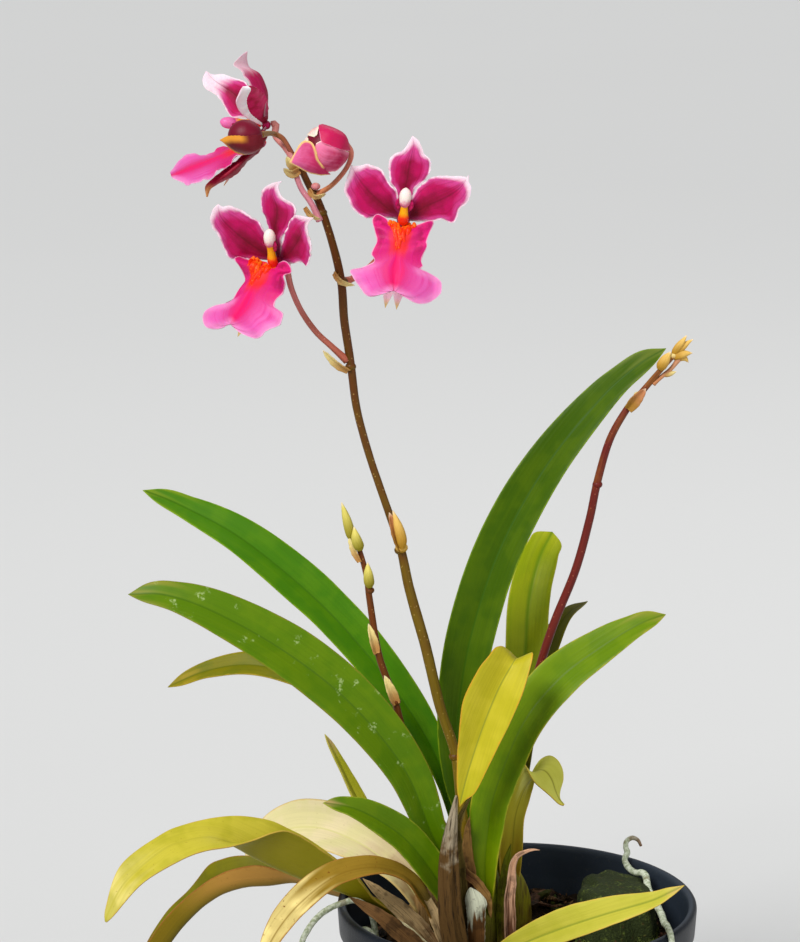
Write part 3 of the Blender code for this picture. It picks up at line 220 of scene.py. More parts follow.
outlines = {  # half width at a share of the length, as a share of the widest
    "leaf": ((0, 0.42), (0.12, 0.52), (0.3, 0.82), (0.52, 1.0), (0.75, 0.92), (0.9, 0.6), (0.97, 0.32),
             (1, 0)),
    "broad": ((0, 0.46), (0.12, 0.72), (0.3, 0.98), (0.5, 1.0), (0.75, 0.84), (0.9, 0.56), (0.97, 0.34),
              (1, 0)),
    "short": ((0, 0.45), (0.2, 0.75), (0.45, 1.0), (0.7, 0.9), (0.88, 0.58), (0.96, 0.32), (1, 0)),
    "blunt": ((0, 0.4), (0.3, 0.7), (0.6, 1.0), (0.82, 0.98), (0.93, 0.82), (0.98, 0.55), (1, 0)),
    "pinched": ((0, 0.14), (0.05, 0.3), (0.12, 0.52), (0.22, 0.74), (0.35, 0.9), (0.52, 1.0), (0.75, 0.92),
                (0.9, 0.6), (0.97, 0.32), (1, 0)),
    "tapered": ((0, 0.45), (0.2, 0.8), (0.42, 1.0), (0.56, 0.96), (0.7, 0.76), (0.85, 0.46), (0.94, 0.24),
                (1, 0)),
    "late": ((0, 0.5), (0.3, 0.55), (0.45, 0.68), (0.62, 0.95), (0.74, 1.0), (0.87, 0.8), (0.95, 0.45),
             (1, 0)),
    "sheath": ((0, 0.8), (0.3, 1.0), (0.7, 0.7), (0.9, 0.35), (1, 0)),
    "dorsal": (
        (0, 0.24), (0.2, 0.33), (0.34, 0.46), (0.5, 0.76), (0.63, 1.0), (0.72, 0.95), (0.81, 0.62),
               (0.9, 0.36),
        (1, 0)
    ),
    "petalUpper": (
        (0, 0.3), (0.12, 0.53), (0.25, 0.71), (0.5, 0.92), (0.66, 0.97), (0.8, 0.88), (0.92, 0.67), (1, 0)
    ),
    "petalLower": (
        (0, 0.35), (0.2, 0.67), (0.4, 0.88), (0.57, 1.0), (0.7, 0.86), (0.86, 0.6), (0.95, 0.36), (1, 0)
    ),
    "narrow": ((0, 0.5), (0.3, 0.95), (0.55, 1.0), (0.8, 0.62), (1, 0)),
    "cupped": ((0, 0.3), (0.3, 0.85), (0.55, 1.0), (0.8, 0.75), (0.93, 0.4), (1, 0)),
}


# A leaf or petal as a thin closed lens. From the middle line outwards (t from 0 to 1 on each side) the
# section leaves the line at the slope fold * tanh(t / soft) + cup * t, so its place is half the width times
# the running integrals of cos and sin of that slope. The two faces stand off it along its normal by half of
# thick * sqrt(1 - t^8), the upper one sunk by a groove and the lower one raised by a keel, both
# exp(-(t/0.07)^2)
def blade(path, width, outline, look, fold=(0, 0), soft=0.12, cup=0.0, thick=0.9, rows=60, columns=22,
          crowd=1.35, ripple=0.0, waves=4.0, ruffle=0.0, groove=0.0, keel=0.0, twist=0.0, seed=1, paint=0):
    share = 1 - (1 - np.linspace(0, 1, rows + 1)) ** crowd
    far = share[:, None]
    line, length = smoothLine(path, share)
    along = unit(np.gradient(line, axis=0))
    face = np.outer(1 - share, look[0]) + np.outer(share, look[1])
    normal = unit(face - along * np.sum(face * along, axis=1, keepdims=True))
    side = np.cross(along, normal)
    turn = np.radians(twist) * wander(share, seed, 0.8)[:, None] * far
    normal, side = normal * np.cos(turn) + side * np.sin(turn), side * np.cos(turn) - normal * np.sin(turn)
    normal, side = normal[:, None], side[:, None]
    u = np.linspace(-1, 1, columns + 1)
    t = np.sign(u) * np.sin(np.abs(u) ** 1.25 * math.pi / 2)
    halves = [through(outlines[outline], share) * width / 2 * (1 + ruffle * wander(share, seed + k, 5))
              for k in (0, 1)]
    half = np.where(t < 0, halves[0][:, None], halves[1][:, None])
    slope = np.radians(fold[0] + (fold[1] - fold[0]) * share)[:, None] * np.tanh(t / soft) + cup * t

    def gather(values):
        steps = (values[:, 1:] + values[:, :-1]) / 2 * np.diff(t)
        total = np.concatenate([np.zeros((rows + 1, 1)), np.cumsum(steps, axis=1)], axis=1)
        return total - total[:, [columns // 2]]

    # The upper face's values across, then the lower face's on the way back
    def around(above, below):
        return np.concatenate([above, below[:, -2:0:-1]], axis=1)

    wave = ripple * np.abs(t) ** 2.2 * np.sin(math.pi * share)[:, None] * np.where(
        t < 0, wander(share, seed + 7, waves)[:, None], wander(share, seed + 8, waves)[:, None])
    out, rise = half * gather(np.cos(slope)), half * gather(np.sin(slope)) + wave
    middle = line[:, None] + out[..., None] * side + rise[..., None] * normal
    facing = np.cos(slope)[..., None] * normal - np.sin(slope)[..., None] * side
    lens = thick / 2 * np.sqrt(1 - np.abs(t) ** 8) * np.sqrt(1 - 0.9 * far**6)
    ridge = np.exp(-((t / 0.07) ** 2)) * (1 - far**3)
    rings = around(middle + facing * (lens - groove * ridge)[..., None],
                   middle - facing * (lens + keel * ridge)[..., None])
    margin = np.minimum((1 - np.abs(t)) * half, (1 - share)[:, None] * length)
    reach = triple(t * half, far * length, margin)
    spot = around(triple(t, far, np.where(np.abs(t) == 1, 0.5, 0.0)), triple(t, far, 1.0))
    return closed(rings[:-1], spot[:-1], around(reach, reach)[:-1], last=line[-1], paint=paint)


# A tube along a smooth line: ring points at centre + radius * (cos(a) * side + deep * sin(a) * up), where
# side is carried along without spinning. form(a, s) scales the radius round (a) and along (s)
def tube(path, radii, rows=40, sides=14, deep=1.0, form=None, even=False, paint=0):
    share = np.linspace(0, 1, rows + 1)
    if not even:  # rows crowd towards both ends, where a tube rounds off
        share = 0.5 - 0.5 * np.cos(math.pi * share)
    far = share[:, None]
    line, length = smoothLine(path, share)
    along = unit(np.gradient(line, axis=0))
    carried = np.array([1.0, 0, 0]) if abs(along[0][0]) < 0.9 else np.array([0, 1.0, 0])
    sideways = []
    for direction in along:
        carried = unit(carried - direction * (carried @ direction))
        sideways.append(carried)
    side = np.array(sideways)
    up = np.cross(along, side)
    a = np.arange(sides) * 2 * math.pi / sides
    radius = through(radii, share)
    scale = radius[:, None] * (form(a[None, :], far) if form else 1) * np.ones((rows + 1, sides))
    rings = line[:, None] + (scale * np.cos(a))[..., None] * side[:, None]
    rings = rings + (scale * deep * np.sin(a))[..., None] * up[:, None]
    spot = triple(a / math.pi - 1, far, 0.0)
    reach = triple(np.cos(a) * scale, far * length, np.sin(a) * scale)
    first, last = line[0] - along[0] * 0.3 * radius[0], line[-1] + along[-1] * 0.3 * radius[-1]
    return closed(rings, spot, reach, first, last, paint)


# A ball: rings at polar angle b from its lower pole, radius sin(b), height -cos(b), scaled
def ball(centre, radii, rows=10, sides=16, paint=0):
    b = np.linspace(0, math.pi, rows + 2)[1:-1, None]
    a = np.arange(sides)[None, :] * 2 * math.pi / sides
    centre = np.array(centre, float)
    rings = triple(np.sin(b) * np.cos(a), np.sin(b) * np.sin(a), -np.cos(b)) * np.array(radii, float)
    spot = triple(a / math.pi - 1, b / math.pi, 0.0)
    reach = triple(rings[..., 0], rings[..., 2] + radii[2], rings[..., 1])
    return closed(rings + centre, spot, reach, centre - (0, 0, radii[2]), centre + (0, 0, radii[2]), paint)


# A grid of points given a wall: each point moves along the surface normal (the cross product of the two grid
# directions) by half the thickness to either side, and a strip of quads closes the border
def thickSheet(grid, thick, spot, reach, paint=0):
    rows, columns = grid.shape[:2]
    normal = unit(np.cross(np.gradient(grid, axis=0), np.gradient(grid, axis=1)))
    if np.ndim(thick):
        thick = thick[..., None]
    points = np.vstack([(grid + normal * thick / 2).reshape(-1, 3),
                        (grid - normal * thick / 2).reshape(-1, 3)])
    index = np.arange(rows * columns).reshape(rows, columns)
    front = np.stack([index[:-1, :-1], index[:-1, 1:], index[1:, 1:], index[1:, :-1]], -1).reshape(-1, 4)
    loop = np.concatenate([index[0, :-1], index[:-1, -1], index[-1, :0:-1], index[:0:-1, 0]])
    after, lower = np.roll(loop, -1), rows * columns
    border = np.column_stack([after, loop, loop + lower, after + lower])
    faces = facingOut(points, [np.vstack([front, front[:, ::-1] + lower, border])])
    back = spot.reshape(-1, 3) + np.array([0, 0, 1.0])
    return dict(points=points, faces=faces, spot=np.vstack([spot.reshape(-1, 3), back]),
                reach=np.vstack([reach.reshape(-1, 3)] * 2), paint=paint)


# A sheet spanned over lines that run along it, left to right as its upper side shows them. Rows go along, and
# each row passes through the lines' points at their places across (-1 to 1): by smooth cubics, or straight
# between them as far as crease says. It bulges by bulge * (|t| - t^2) on each side, and its margins wave by
# ruffle * |t|^3 and are nibbled by nibble * |t|^10, both times a seeded drift along the edge
def spread(lines, places=(-1, 0, 1), rows=46, columns=36, crease=0.0, bulge=0.0, ruffle=0.0, waves=4.0,
           nibble=0.0, thick=0.5, seed=1, paint=0):
    share = np.linspace(0, 0.995, rows + 1)
    far = share[:, None]
    t = np.sin(np.linspace(-1, 1, columns + 1) * math.pi / 2)
    threads = np.stack([smoothLine(line, share)[0] for line in lines])
    length = smoothLine(lines[len(lines) // 2], share)[1]
    each = np.eye(len(lines))
    smooth = np.stack([through(tuple(zip(places, row)), t) for row in each], axis=1)
    straight = np.stack([np.interp(t, places, row) for row in each], axis=1)
    grid = np.einsum("ck,krd->rcd", crease * straight + (1 - crease) * smooth, threads)
    sideways = unit(np.gradient(grid, axis=1))
    normal = unit(np.cross(sideways, np.gradient(grid, axis=0)))
    size = np.abs(t)[None, :]
    drift = np.where(t < 0, wander(share, seed, waves)[:, None], wander(share, seed + 1, waves)[:, None])
    bite = np.where(t < 0, -wander(share, seed + 2, 13)[:, None], wander(share, seed + 3, 13)[:, None])
    bell = np.sin(math.pi * share**0.8)[:, None]
    lift = ruffle * size**3 * drift * bell + bulge * (size - size**2) * bell
    grid = grid + normal * lift[..., None] + sideways * (nibble * size**10 * bite * bell)[..., None]
    edge = np.vstack([smoothLine(lines[k], np.linspace(0, 1, 5 * rows))[0] for k in (0, -1)])
    margin = np.sqrt(((grid.reshape(-1, 1, 3) - edge[None]) ** 2).sum(-1)).min(axis=1).reshape(grid.shape[:2])
    aside = np.linalg.norm(grid - grid[:, [columns // 2]], axis=-1) * np.sign(t)
    reach = triple(aside, far * length, np.where(size == 1, 0, margin))
    wall = thick * (1 - 0.5 * size**6) * (1 - 0.3 * far**6)
    return thickSheet(grid[:, ::-1], wall[:, ::-1], triple(t, far, 0.0)[:, ::-1], reach[:, ::-1], paint)


# A solid's points placed in space
def moved(solid, at, turn):
    solid["points"] = placed(solid["points"], at, turn)
    return solid


# Solids put into one mesh object at the origin, with their marks as attributes and their paints as materials
def piece(name, solids, paints, nodes, smooth=True):
    points = np.vstack([s["points"] for s in solids]) * mm
    starts = np.cumsum([0] + [len(s["points"]) for s in solids])
    groups = [(g + start, s["paint"]) for s, start in zip(solids, starts) for g in s["faces"]]
    loops = np.concatenate([g.ravel() for g, _ in groups])
    sizes = np.concatenate([np.full(len(g), g.shape[1]) for g, _ in groups])
    picks = np.concatenate([np.full(len(g), paint) for g, paint in groups])
    mesh = bpy.data.meshes.new(name)
    mesh.vertices.add(len(points))
    mesh.vertices.foreach_set("co", points.astype(np.float32).ravel())
    mesh.loops.add(len(loops))
    mesh.loops.foreach_set("vertex_index", loops.astype(np.int32))
    mesh.polygons.add(len(sizes))
    mesh.polygons.foreach_set("loop_start", np.concatenate([[0], np.cumsum(sizes)[:-1]]).astype(np.int32))
    for paint in paints:
        mesh.materials.append(paint)
    mesh.polygons.foreach_set("material_index", picks.astype(np.int32))
    mesh.update(calc_edges=True)
    for mark in ("spot", "reach"):
        values = np.vstack([s[mark] for s in solids]).astype(np.float32)
        mesh.attributes.new(mark, "FLOAT_VECTOR", "POINT").data.foreach_set("vector", values.ravel())
    if smooth:
        mesh.shade_smooth()
    else:
        mesh.shade_flat()
    obj = newObject(name, mesh)
    if nodes:
        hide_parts(*nodes)
    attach(obj, "root")
    return obj


# Paints


# A colour as shown on a screen, 0 to 255, or the name of a flower's tint, made linear and shaded
def ink(colour, shade=1.0):
    colour = flowerTints[colour] if isinstance(colour, str) else colour
    return tuple((c / 255) ** 2.2 * shade for c in colour)


# A node material. Most methods add one node and give its output, so a finish reads in plain steps. The colour
# starts as one tint and is built up in coats
class Paint:
    across = property(lambda self: self.mark("spot", 0))
    along = property(lambda self: self.mark("spot", 1))
    under = property(lambda self: self.mark("spot", 2))
    fromEdge = property(lambda self: self.mark("reach", 2))

    def __init__(self, name, first):
        self.material = bpy.data.materials.new(name)
        self.material.use_nodes = True
        self.tree = self.material.node_tree
        self.shader = self.tree.nodes["Principled BSDF"]
        self.held = {}
        self.colour = ink(first)

    def put(self, socket, value):
        if isinstance(value, bpy.types.NodeSocket):
            self.tree.links.new(value, socket)
        else:
            socket.default_value = (*value[:3], 1) if socket.type == "RGBA" else value

    def add(self, kind, values=(), output=0, **settings):
        node = self.tree.nodes.new("ShaderNode" + kind)
        for key, value in settings.items():
            setattr(node, key, value)
        for key, value in dict(values).items():
            self.put(node.inputs[key], value)
        return node.outputs[output]

    # The object's own coordinates, in millimetres
    def place(self):
        if "place" not in self.held:
            metres = self.add("TexCoord", output=3)
            self.held["place"] = self.add("VectorMath", {0: metres, 1: (1000, 1000, 1000)},
                                          operation="MULTIPLY")
        return self.held["place"]

    # One number of a mark: 0, 1 or 2
    def mark(self, name, number):
        if name not in self.held:
            node = self.tree.nodes.new("ShaderNodeSeparateXYZ")
            self.put(node.inputs[0], self.add("Attribute", output=1, attribute_name=name))
            self.held[name] = node.outputs
        return self.held[name][number]

    def sum(self, a, b):
        return self.add("Math", {0: a, 1: b}, operation="ADD")

    def times(self, a, b):
        return self.add("Math", {0: a, 1: b}, operation="MULTIPLY")

    def size(self, a):
        return self.add("Math", {0: a}, operation="ABSOLUTE")

    # a * x + b * y
    def both(self, a, x, b, y):
        return self.sum(self.times(a, x), self.times(b, y))

    # A value moved about by noise: value + (noise - 0.5) * amount
    def stray(self, value, noise, amount):
        return self.sum(value, self.times(self.sum(noise, -0.5), amount))

    # 0 at low and 1 at high, eased at both ends; low above high turns it round
    def ease(self, value, low, high, top=1.0):
        if low > high:
            ends = {"From Min": high, "From Max": low, "To Min": top, "To Max": 0.0}
        else:
            ends = {"From Min": low, "From Max": high, "To Min": 0.0, "To Max": top}
        return self.add("MapRange", {"Value": value, **ends}, interpolation_type="SMOOTHSTEP")

    # Noise of about the given grain in millimetres, on the object's coordinates or on given ones
    def noise(self, grain, detail=2.0, where=None):
        where = self.place() if where is None else where
        return self.add("TexNoise", {"Vector": where, "Scale": 1 / grain, "Detail": detail,
                                     "Distortion": 0.0})

    # Distance from the middle of the nearest of scattered cells, in cell widths
    def cells(self, grain):
        return self.add("TexVoronoi", {"Vector": self.place(), "Scale": 1 / grain})

    # Coordinates that follow the surface: mm across and along, stretched, with the side as the third
    def surface(self, across, along):
        return self.add("CombineXYZ", {
            0: self.times(self.mark("reach", 0), across), 1: self.times(self.mark("reach", 1), along),
            2: self.times(self.under, 7.0)})

    # Coordinates that fan out along a petal, from its share across and along
    def fan(self, across, along, side=0.0):
        return self.add("CombineXYZ", {0: self.times(self.across, across), 1: along, 2: side})

    def mix(self, factor, a, b):
        return self.add("Mix", {0: factor, 6: a, 7: b}, 2, data_type="RGBA", blend_type="MIX")

    # Lays a tint over the colour, by a factor or as far as a value has risen from low to high
    def coat(self, tint, value, low=None, high=1.0, top=1.0, shade=1.0):
        tint = tint if isinstance(tint, bpy.types.NodeSocket) else ink(tint, shade)
        self.colour = self.mix(value if low is None else self.ease(value, low, high, top), self.colour, tint)

    def ramp(self, value, stops):
        node = self.tree.nodes.new("ShaderNodeValToRGB")
        self.put(node.inputs[0], value)
        row = node.color_ramp.elements
        while len(row) < len(stops):
            row.new(0.5)
        for element, (place, colour) in zip(row, stops):
            element.position = place
            element.color = (*colour, 1)
        return node.outputs[0]

    # Links colour, roughness and relief (height from 0 to 1 times depth in mm), and sets shine and softness
    def done(self, rough, height=None, depth=0.1, shine=0.22, soft=0.0, softReach=0.8):
        self.put(self.shader.inputs["Base Color"], self.colour)
        self.put(self.shader.inputs["Roughness"], rough)
        if height is not None:
            bump = self.add("Bump", {"Strength": 1.0, "Distance": depth * mm, "Height": height})
            self.put(self.shader.inputs["Normal"], bump)
        self.shader.inputs["Specular IOR Level"].default_value = shine
        if soft:
            self.shader.inputs["Subsurface Weight"].default_value = soft
            self.shader.inputs["Subsurface Scale"].default_value = softReach * mm
        return self.material


makeCamera()
makeLamps()
print("camera and lamps placed")


# Floor

# A broad square, faintly clouded
def makeFloor():
    mesh = bpy.data.meshes.new("floor")
    reach = 16.0
    corners = [(-reach, -reach, 0), (reach, -reach, 0), (reach, reach, 0), (-reach, reach, 0)]
    mesh.from_pydata(corners, [], [(0, 1, 2, 3)])
    floor = newObject("floor", mesh)
    p = Paint("floorPaint", (255, 255, 255))
    colour = studio["floorColour"]
    p.colour = p.mix(p.noise(400), colour, [c * 0.985 for c in colour])
    mesh.materials.append(p.done(0.85))


makeFloor()


# Leaves: the CAD node, how it is built and what colours it has

leafTints = dict(rimWidth=0.5, mottle=0.35, streak=0.4, specks=0.0, scuffs=0.0, gloss=0.46, baseEnd=0.2,
                 tipStart=0.93, ribWidth=0.7, burn=(110, 64, 20), burnt=0.0, relief=0.05, shine=0.14)

leaves = {
    "leafLeftUpper": dict(
        node="leaf_left_upper", slot="leaf_green", width=16.5, outline="leaf", fold=(38, 10),
        look=((0.3, -1, 0.3), (0.25, -0.75, 0.75)),
        path=((-17, 1, 122), (-20, 3, 132), (-24, 5, 145), (-31, 8, 160), (-45, 12, 180), (-65, 17, 202),
            (-91, 22, 223), (-112, 26, 234), (-125, 28, 239)),
        tints=dict(
            face=(66, 116, 0), second=(92, 134, 6), base=(70, 108, 0), tip=(140, 146, 40), rib=(56, 98, 0),
            rim=(130, 156, 30), under=(96, 124, 30), tipStart=0.97)),
    "leafLeftLower": dict(
        node="leaf_left_lower", slot="leaf_green", width=19, outline="leaf", fold=(36, 10),
        look=((0.3, -1, 0.2), (0.2, -0.8, 0.7)),
        path=((-16, -5, 107), (-23, -7, 118), (-29, -10, 132), (-38, -13, 155), (-55, -17, 178),
            (-76, -19, 196), (-99, -19, 209.5), (-115, -18, 215), (-127, -17, 215)),
        tints=dict(
            face=(82, 116, 0), second=(106, 132, 10), base=(84, 116, 0), tip=(150, 136, 50), rib=(66, 98, 0),
            rim=(134, 146, 40), under=(106, 124, 30), scuffs=0.6, tipStart=0.97, burnt=0.35)),
    "leafRightUpper": dict(
        node="leaf_right_upper", slot="leaf_green", width=17.5, outline="broad", fold=(38, 12),
        look=((0.2, -1, 0.1), (-0.5, -0.85, 0.4)),
        path=((-12, -1, 121), (-16, 0, 134), (-19.5, 2, 148), (-20, 5, 166), (-16, 9, 192), (-6.5, 14, 221),
            (8.5, 19, 248), (26.5, 24, 270), (39.5, 27, 281.5), (49, 29, 287)),
        tints=dict(
            face=(60, 88, 0), second=(84, 108, 2), base=(76, 114, 0), tip=(120, 130, 60), rib=(50, 84, 0),
            rim=(116, 140, 26), under=(86, 110, 20), tipStart=0.97, shine=0.1)),
    "leafRightLower": dict(
        node="leaf_right_lower", slot="leaf_green", width=16, outline="pinched", fold=(30, 12),
        look=((-0.3, -1, 0.2), (-0.35, -0.8, 0.65)),
        path=((-10.4, -5, 99), (-10.7, -9.5, 109), (-10.9, -10, 122), (-10, -9.3, 132), (-7.8, -8, 145),
            (1.5, -3, 167), (13.5, 2, 181), (26, 5, 190), (40, 8, 198), (49, 10, 201)),
        tints=dict(
            face=(92, 122, 0), second=(118, 142, 8), base=(110, 124, 4), tip=(150, 140, 60),
            rib=(80, 108, 0), rim=(160, 156, 40), under=(116, 132, 20), baseEnd=0.3, tipStart=0.97)),
    "leafFrontYellow": dict(
        node="leaf_front_yellow", slot="leaf_yellow",
        lines=(
            ((-19.9, -24, 145.3), (-20.6, -25, 153.4), (-20.6, -25.5, 160), (-20.3, -26, 167.6),
                (-18.7, -26, 181.5), (-14.1, -25, 191.5), (-10.7, -23.5, 195.9), (-7.8, -21, 198.6),
                (-4.4, -15, 196.1), (-0.5, -8, 190.2)),
            ((-19.7, -24, 145.5), (-18.6, -24, 151), (-16.4, -23.5, 159.4), (-12.2, -22.5, 172.3),
                (-8, -21.5, 182.9), (-5.1, -20.5, 188.6), (-2.4, -19, 192.5), (-1.4, -14, 192.3),
                (-0.5, -8, 190.2)),
            ((-19.6, -24, 145.3), (-17.6, -24.5, 147.9), (-14.6, -25, 150.6), (-10.6, -25.5, 159),
                (-7.5, -26, 166), (-4.8, -26, 171.8), (-1.9, -25.5, 178), (0.5, -25, 183.9),
                (2.6, -23, 190.7), (3.9, -20, 195.9), (2.5, -14, 193.8), (-0.5, -8, 190.2))),
        tints=dict(
            face=(188, 176, 44), second=(170, 162, 26), base=(170, 164, 30), tip=(186, 170, 60),
            rib=(120, 128, 44), rim=(206, 156, 44), under=(160, 148, 40), rimWidth=0.5, mottle=0.55,
            ribWidth=0.55, streak=0.5)),
    "leafBackTall": dict(
        node="leaf_back_tall", slot="leaf_yellow", width=14.5, outline="blunt", fold=(30, 12),
        look=((0.1, -1, 0.1), (0, -0.9, 0.5)),
        path=((-4, 15, 106), (-4, 17, 120), (-3, 20, 135), (0, 26, 158), (3, 32, 178), (4.5, 40, 197),
            (8, 47, 210), (13, 55, 218)),
        tints=dict(
            face=(146, 158, 10), second=(118, 142, 8), base=(130, 138, 14), tip=(170, 176, 40),
            rib=(92, 126, 8), rim=(176, 172, 50), under=(150, 152, 30), ribWidth=1.2, streak=0.6)),
    "leafBackBent": dict(
        node="leaf_back_bent", slot="leaf_yellow", width=11, outline="short", fold=(35, 20),
        look=((0.2, -1, 0.1), (-0.4, -0.6, 1)),
        path=((-0.5, 16, 105), (-1.5, 21, 121), (0, 28, 139), (4, 38, 160), (11.5, 50, 177), (18, 58, 187),
            (26, 66, 190.5)),
        tints=dict(
            face=(92, 92, 8), second=(78, 80, 6), base=(84, 80, 10), tip=(100, 90, 30), rib=(74, 78, 6),
            rim=(120, 112, 30), under=(104, 100, 20))),
    "leafBackCurled": dict(
        node="leaf_back_curled", slot="leaf_yellow",
        lines=(
            ((-4, 12, 99), (-5.6, 11, 113), (-5.4, 10, 121), (-4.4, 9, 130.4), (-2.7, 8, 137.2),
                (-0.8, 7, 142.6), (0.8, 6, 147.9), (2.0, 5, 150.8), (4.1, 6, 146.9), (6.4, 7, 143.2),
                (10.8, 9, 138.7), (14.2, 11, 134.8), (16.2, 12, 133.9)),
            ((-2, 13, 99), (-2, 13, 112.5), (-1.4, 12.5, 120), (-0.8, 12, 129.4), (0.9, 12, 136.3),
                (3.5, 12, 141.9), (6.6, 13, 145.2), (9.2, 14, 145.3), (11.4, 14, 142.6), (12.8, 13.5, 138.6),
                (14.1, 13, 135.8), (16.2, 12, 133.9)),
            ((0.5, 13, 99), (1.8, 13, 112.5), (2.3, 12.5, 120), (2.7, 13, 129), (4.7, 14, 136.2),
                (6, 16, 140.6), (6.7, 18, 145.2), (8.2, 19.5, 147.6), (11.2, 20, 149), (13.8, 20, 147.6),
                (15.5, 19, 144.7), (15.8, 18, 141.3), (14.7, 16, 137.8), (14.7, 14, 135.5),
                (16.2, 12, 133.9))),
        # The near white yellow tip is partly the leaf's own pale tip and partly painted light, lifting a part
        # that faces away from the lamps
        tints=dict(
            face=(190, 180, 50), second=(164, 154, 34), base=(150, 108, 24), tip=(255, 255, 140),
            rib=(136, 130, 30), rim=(232, 200, 80), under=(206, 204, 70), baseEnd=0.6, tipStart=0.62)),
    "leafLeftShort": dict(
        node="leaf_left_short", slot="leaf_green", width=12.4, outline="short", fold=(36, 14),
        look=((0.3, -1, 0.4), (0.2, -0.8, 0.7)),
        path=((-18, -5, 96), (-22, -11, 107), (-28.5, -16, 120), (-37, -20, 132.4), (-46, -25, 141),
            (-55, -30, 147), (-64, -34, 150)),
        tints=dict(
            face=(84, 116, 0), second=(110, 134, 8), base=(92, 120, 0), tip=(214, 170, 120),
            rib=(70, 102, 0), rim=(140, 150, 40), under=(112, 130, 30), tipStart=0.96)),
    "leafLeftEdge": dict(
        node="leaf_left_edge", slot="leaf_yellow", width=6.6, outline="short", fold=(40, 20),
        look=((0.6, -0.7, 0.6), (0.6, -0.6, 0.5)),
        path=((-31, 10, 95), (-38, 18, 108), (-47, 24, 120), (-54, 30, 131), (-59.5, 38, 140),
            (-65, 45, 149)),
        tints=dict(
            face=(176, 172, 44), second=(156, 160, 30), base=(136, 136, 20), tip=(190, 150, 120),
            rib=(150, 152, 30), rim=(200, 188, 80), under=(150, 146, 40), tipStart=0.92)),
    "leafFarLeft": dict(
        node="leaf_far_left", slot="leaf_yellow", width=12, outline="leaf", fold=(36, 16),
        look=((0.3, -0.8, 0.6), (0.1, -0.7, 0.8)),
        path=((-16, 0, 110), (-21, 7, 118), (-28, 14, 128), (-38, 24, 142), (-51, 36, 156), (-67, 48, 165.5),
            (-88, 56, 170), (-105, 61, 167), (-120, 64, 160)),
        tints=dict(
            face=(116, 112, 4), second=(96, 104, 4), base=(84, 90, 2), tip=(160, 136, 40), rib=(88, 94, 4),
            rim=(160, 136, 40), under=(110, 108, 12), mottle=0.6, specks=0.2)),
    "leafDryPale": dict(
        node="leaf_dry_pale", slot="leaf_dry", width=19.5, outline="leaf", fold=(30, 14),
        look=((0.3, -0.8, 0.6), (-0.3, -0.7, 0.7)),
        path=((-31, 4, 100), (-37, 8, 108), (-44, 14, 113.5), (-53, 20, 118), (-66, 28, 120.5),
            (-78, 34, 118), (-86.5, 37.5, 110.5), (-91.5, 39, 103)),
        tints=dict(
            face=(224, 208, 164), second=(212, 204, 142), base=(140, 104, 60), tip=(196, 156, 90),
            rib=(206, 198, 130), rim=(206, 176, 110), under=(196, 178, 120), gloss=0.6, rimWidth=0.9,
            mottle=0.7, specks=0.2, baseEnd=0.5)),
    "leafYellowTwisted": dict(
        node="leaf_yellow_twisted", slot="leaf_yellow",
        lines=(
            ((-33, -1, 95), (-40.2, -4, 101.5), (-47.6, -8, 107.9), (-53.6, -12, 117.1), (-59.7, -15, 123.6),
                (-69, -17.5, 131.3), (-75.7, -20, 135.7), (-81, -22, 135.9), (-87.1, -23, 133.8),
                (-94, -24.5, 131.9), (-103.2, -26, 130.8), (-111.6, -27.5, 127.6), (-123.1, -30, 121),
                (-132.3, -32, 110.8), (-135.1, -32, 108.1)),
            ((-32, 0, 92), (-40.2, -2, 98.7), (-46.9, -5, 104.8), (-53.5, -8, 108.7), (-60.5, -10, 111.9),
                (-69.8, -12, 115.9), (-79.1, -14, 120.6), (-86.7, -15.5, 125.1), (-94.4, -17, 130.1),
                (-102, -19, 133), (-110.4, -21, 132.1), (-117.2, -23, 129.5), (-128.7, -27, 120.4),
                (-134.1, -31, 111.2), (-135.1, -32, 108.1)),
            ((-33, 2, 94.5), (-41, 1, 99.7), (-47.3, -2, 105.3), (-53.5, -4, 114.7), (-59.8, -5, 120.6),
                (-69.1, -6, 128), (-76, -8, 132.6), (-82.2, -9, 135.8), (-91.5, -10, 137.6),
                (-100.7, -12.5, 137.7), (-109.9, -15.5, 136.3), (-117.5, -18, 133.7), (-130.3, -24, 125.4),
                (-135, -30, 112.9), (-135.1, -32, 108.1))),
        tints=dict(
            face=(188, 176, 56), second=(160, 154, 32), base=(144, 134, 22), tip=(216, 200, 110),
            rib=(172, 162, 50), rim=(190, 158, 66), under=(112, 104, 0), baseEnd=0.5, tipStart=0.86,
            rimWidth=0.4, mottle=0.6, specks=0.3)),
    "leafTanHanging": dict(
        node="leaf_tan_hanging", slot="leaf_dry",
        lines=(
            ((-33.5, 3, 91.5), (-38.6, 2, 95.5), (-45.7, 3, 101.1), (-54.5, 6, 104.8), (-64, 8, 106.8),
                (-73.6, 10, 109.3), (-80.8, 12, 111.4), (-88, 14, 112.2), (-96.1, 16, 109.9),
                (-101, 18, 107.1), (-105.9, 20, 103.4), (-113.9, 24, 95.4), (-121.5, 28, 85.7),
                (-128.5, 33, 72.6), (-131, 36, 61)),
            ((-33, 5, 89.5), (-37.8, 5, 91.9), (-45, 7, 97.1), (-54.5, 10, 101.1), (-64.1, 12, 103.3),
                (-73.7, 14, 106.2), (-83.3, 16, 104.6), (-91.4, 18, 103.3), (-98.7, 20, 100.4),
                (-103.7, 22, 96.8), (-107.9, 24, 92.8), (-114.2, 28, 84.8), (-120.5, 32, 75), (-127, 36, 66),
                (-131, 37, 60)),
            ((-33.5, 7, 91.5), (-37.8, 8, 95.1), (-45.8, 11, 100.7), (-55.4, 14, 104.7), (-64.2, 16, 106.9),
                (-72.2, 18, 109.2), (-81, 20, 111.8), (-89.1, 22, 112.7), (-94.8, 24, 112.1),
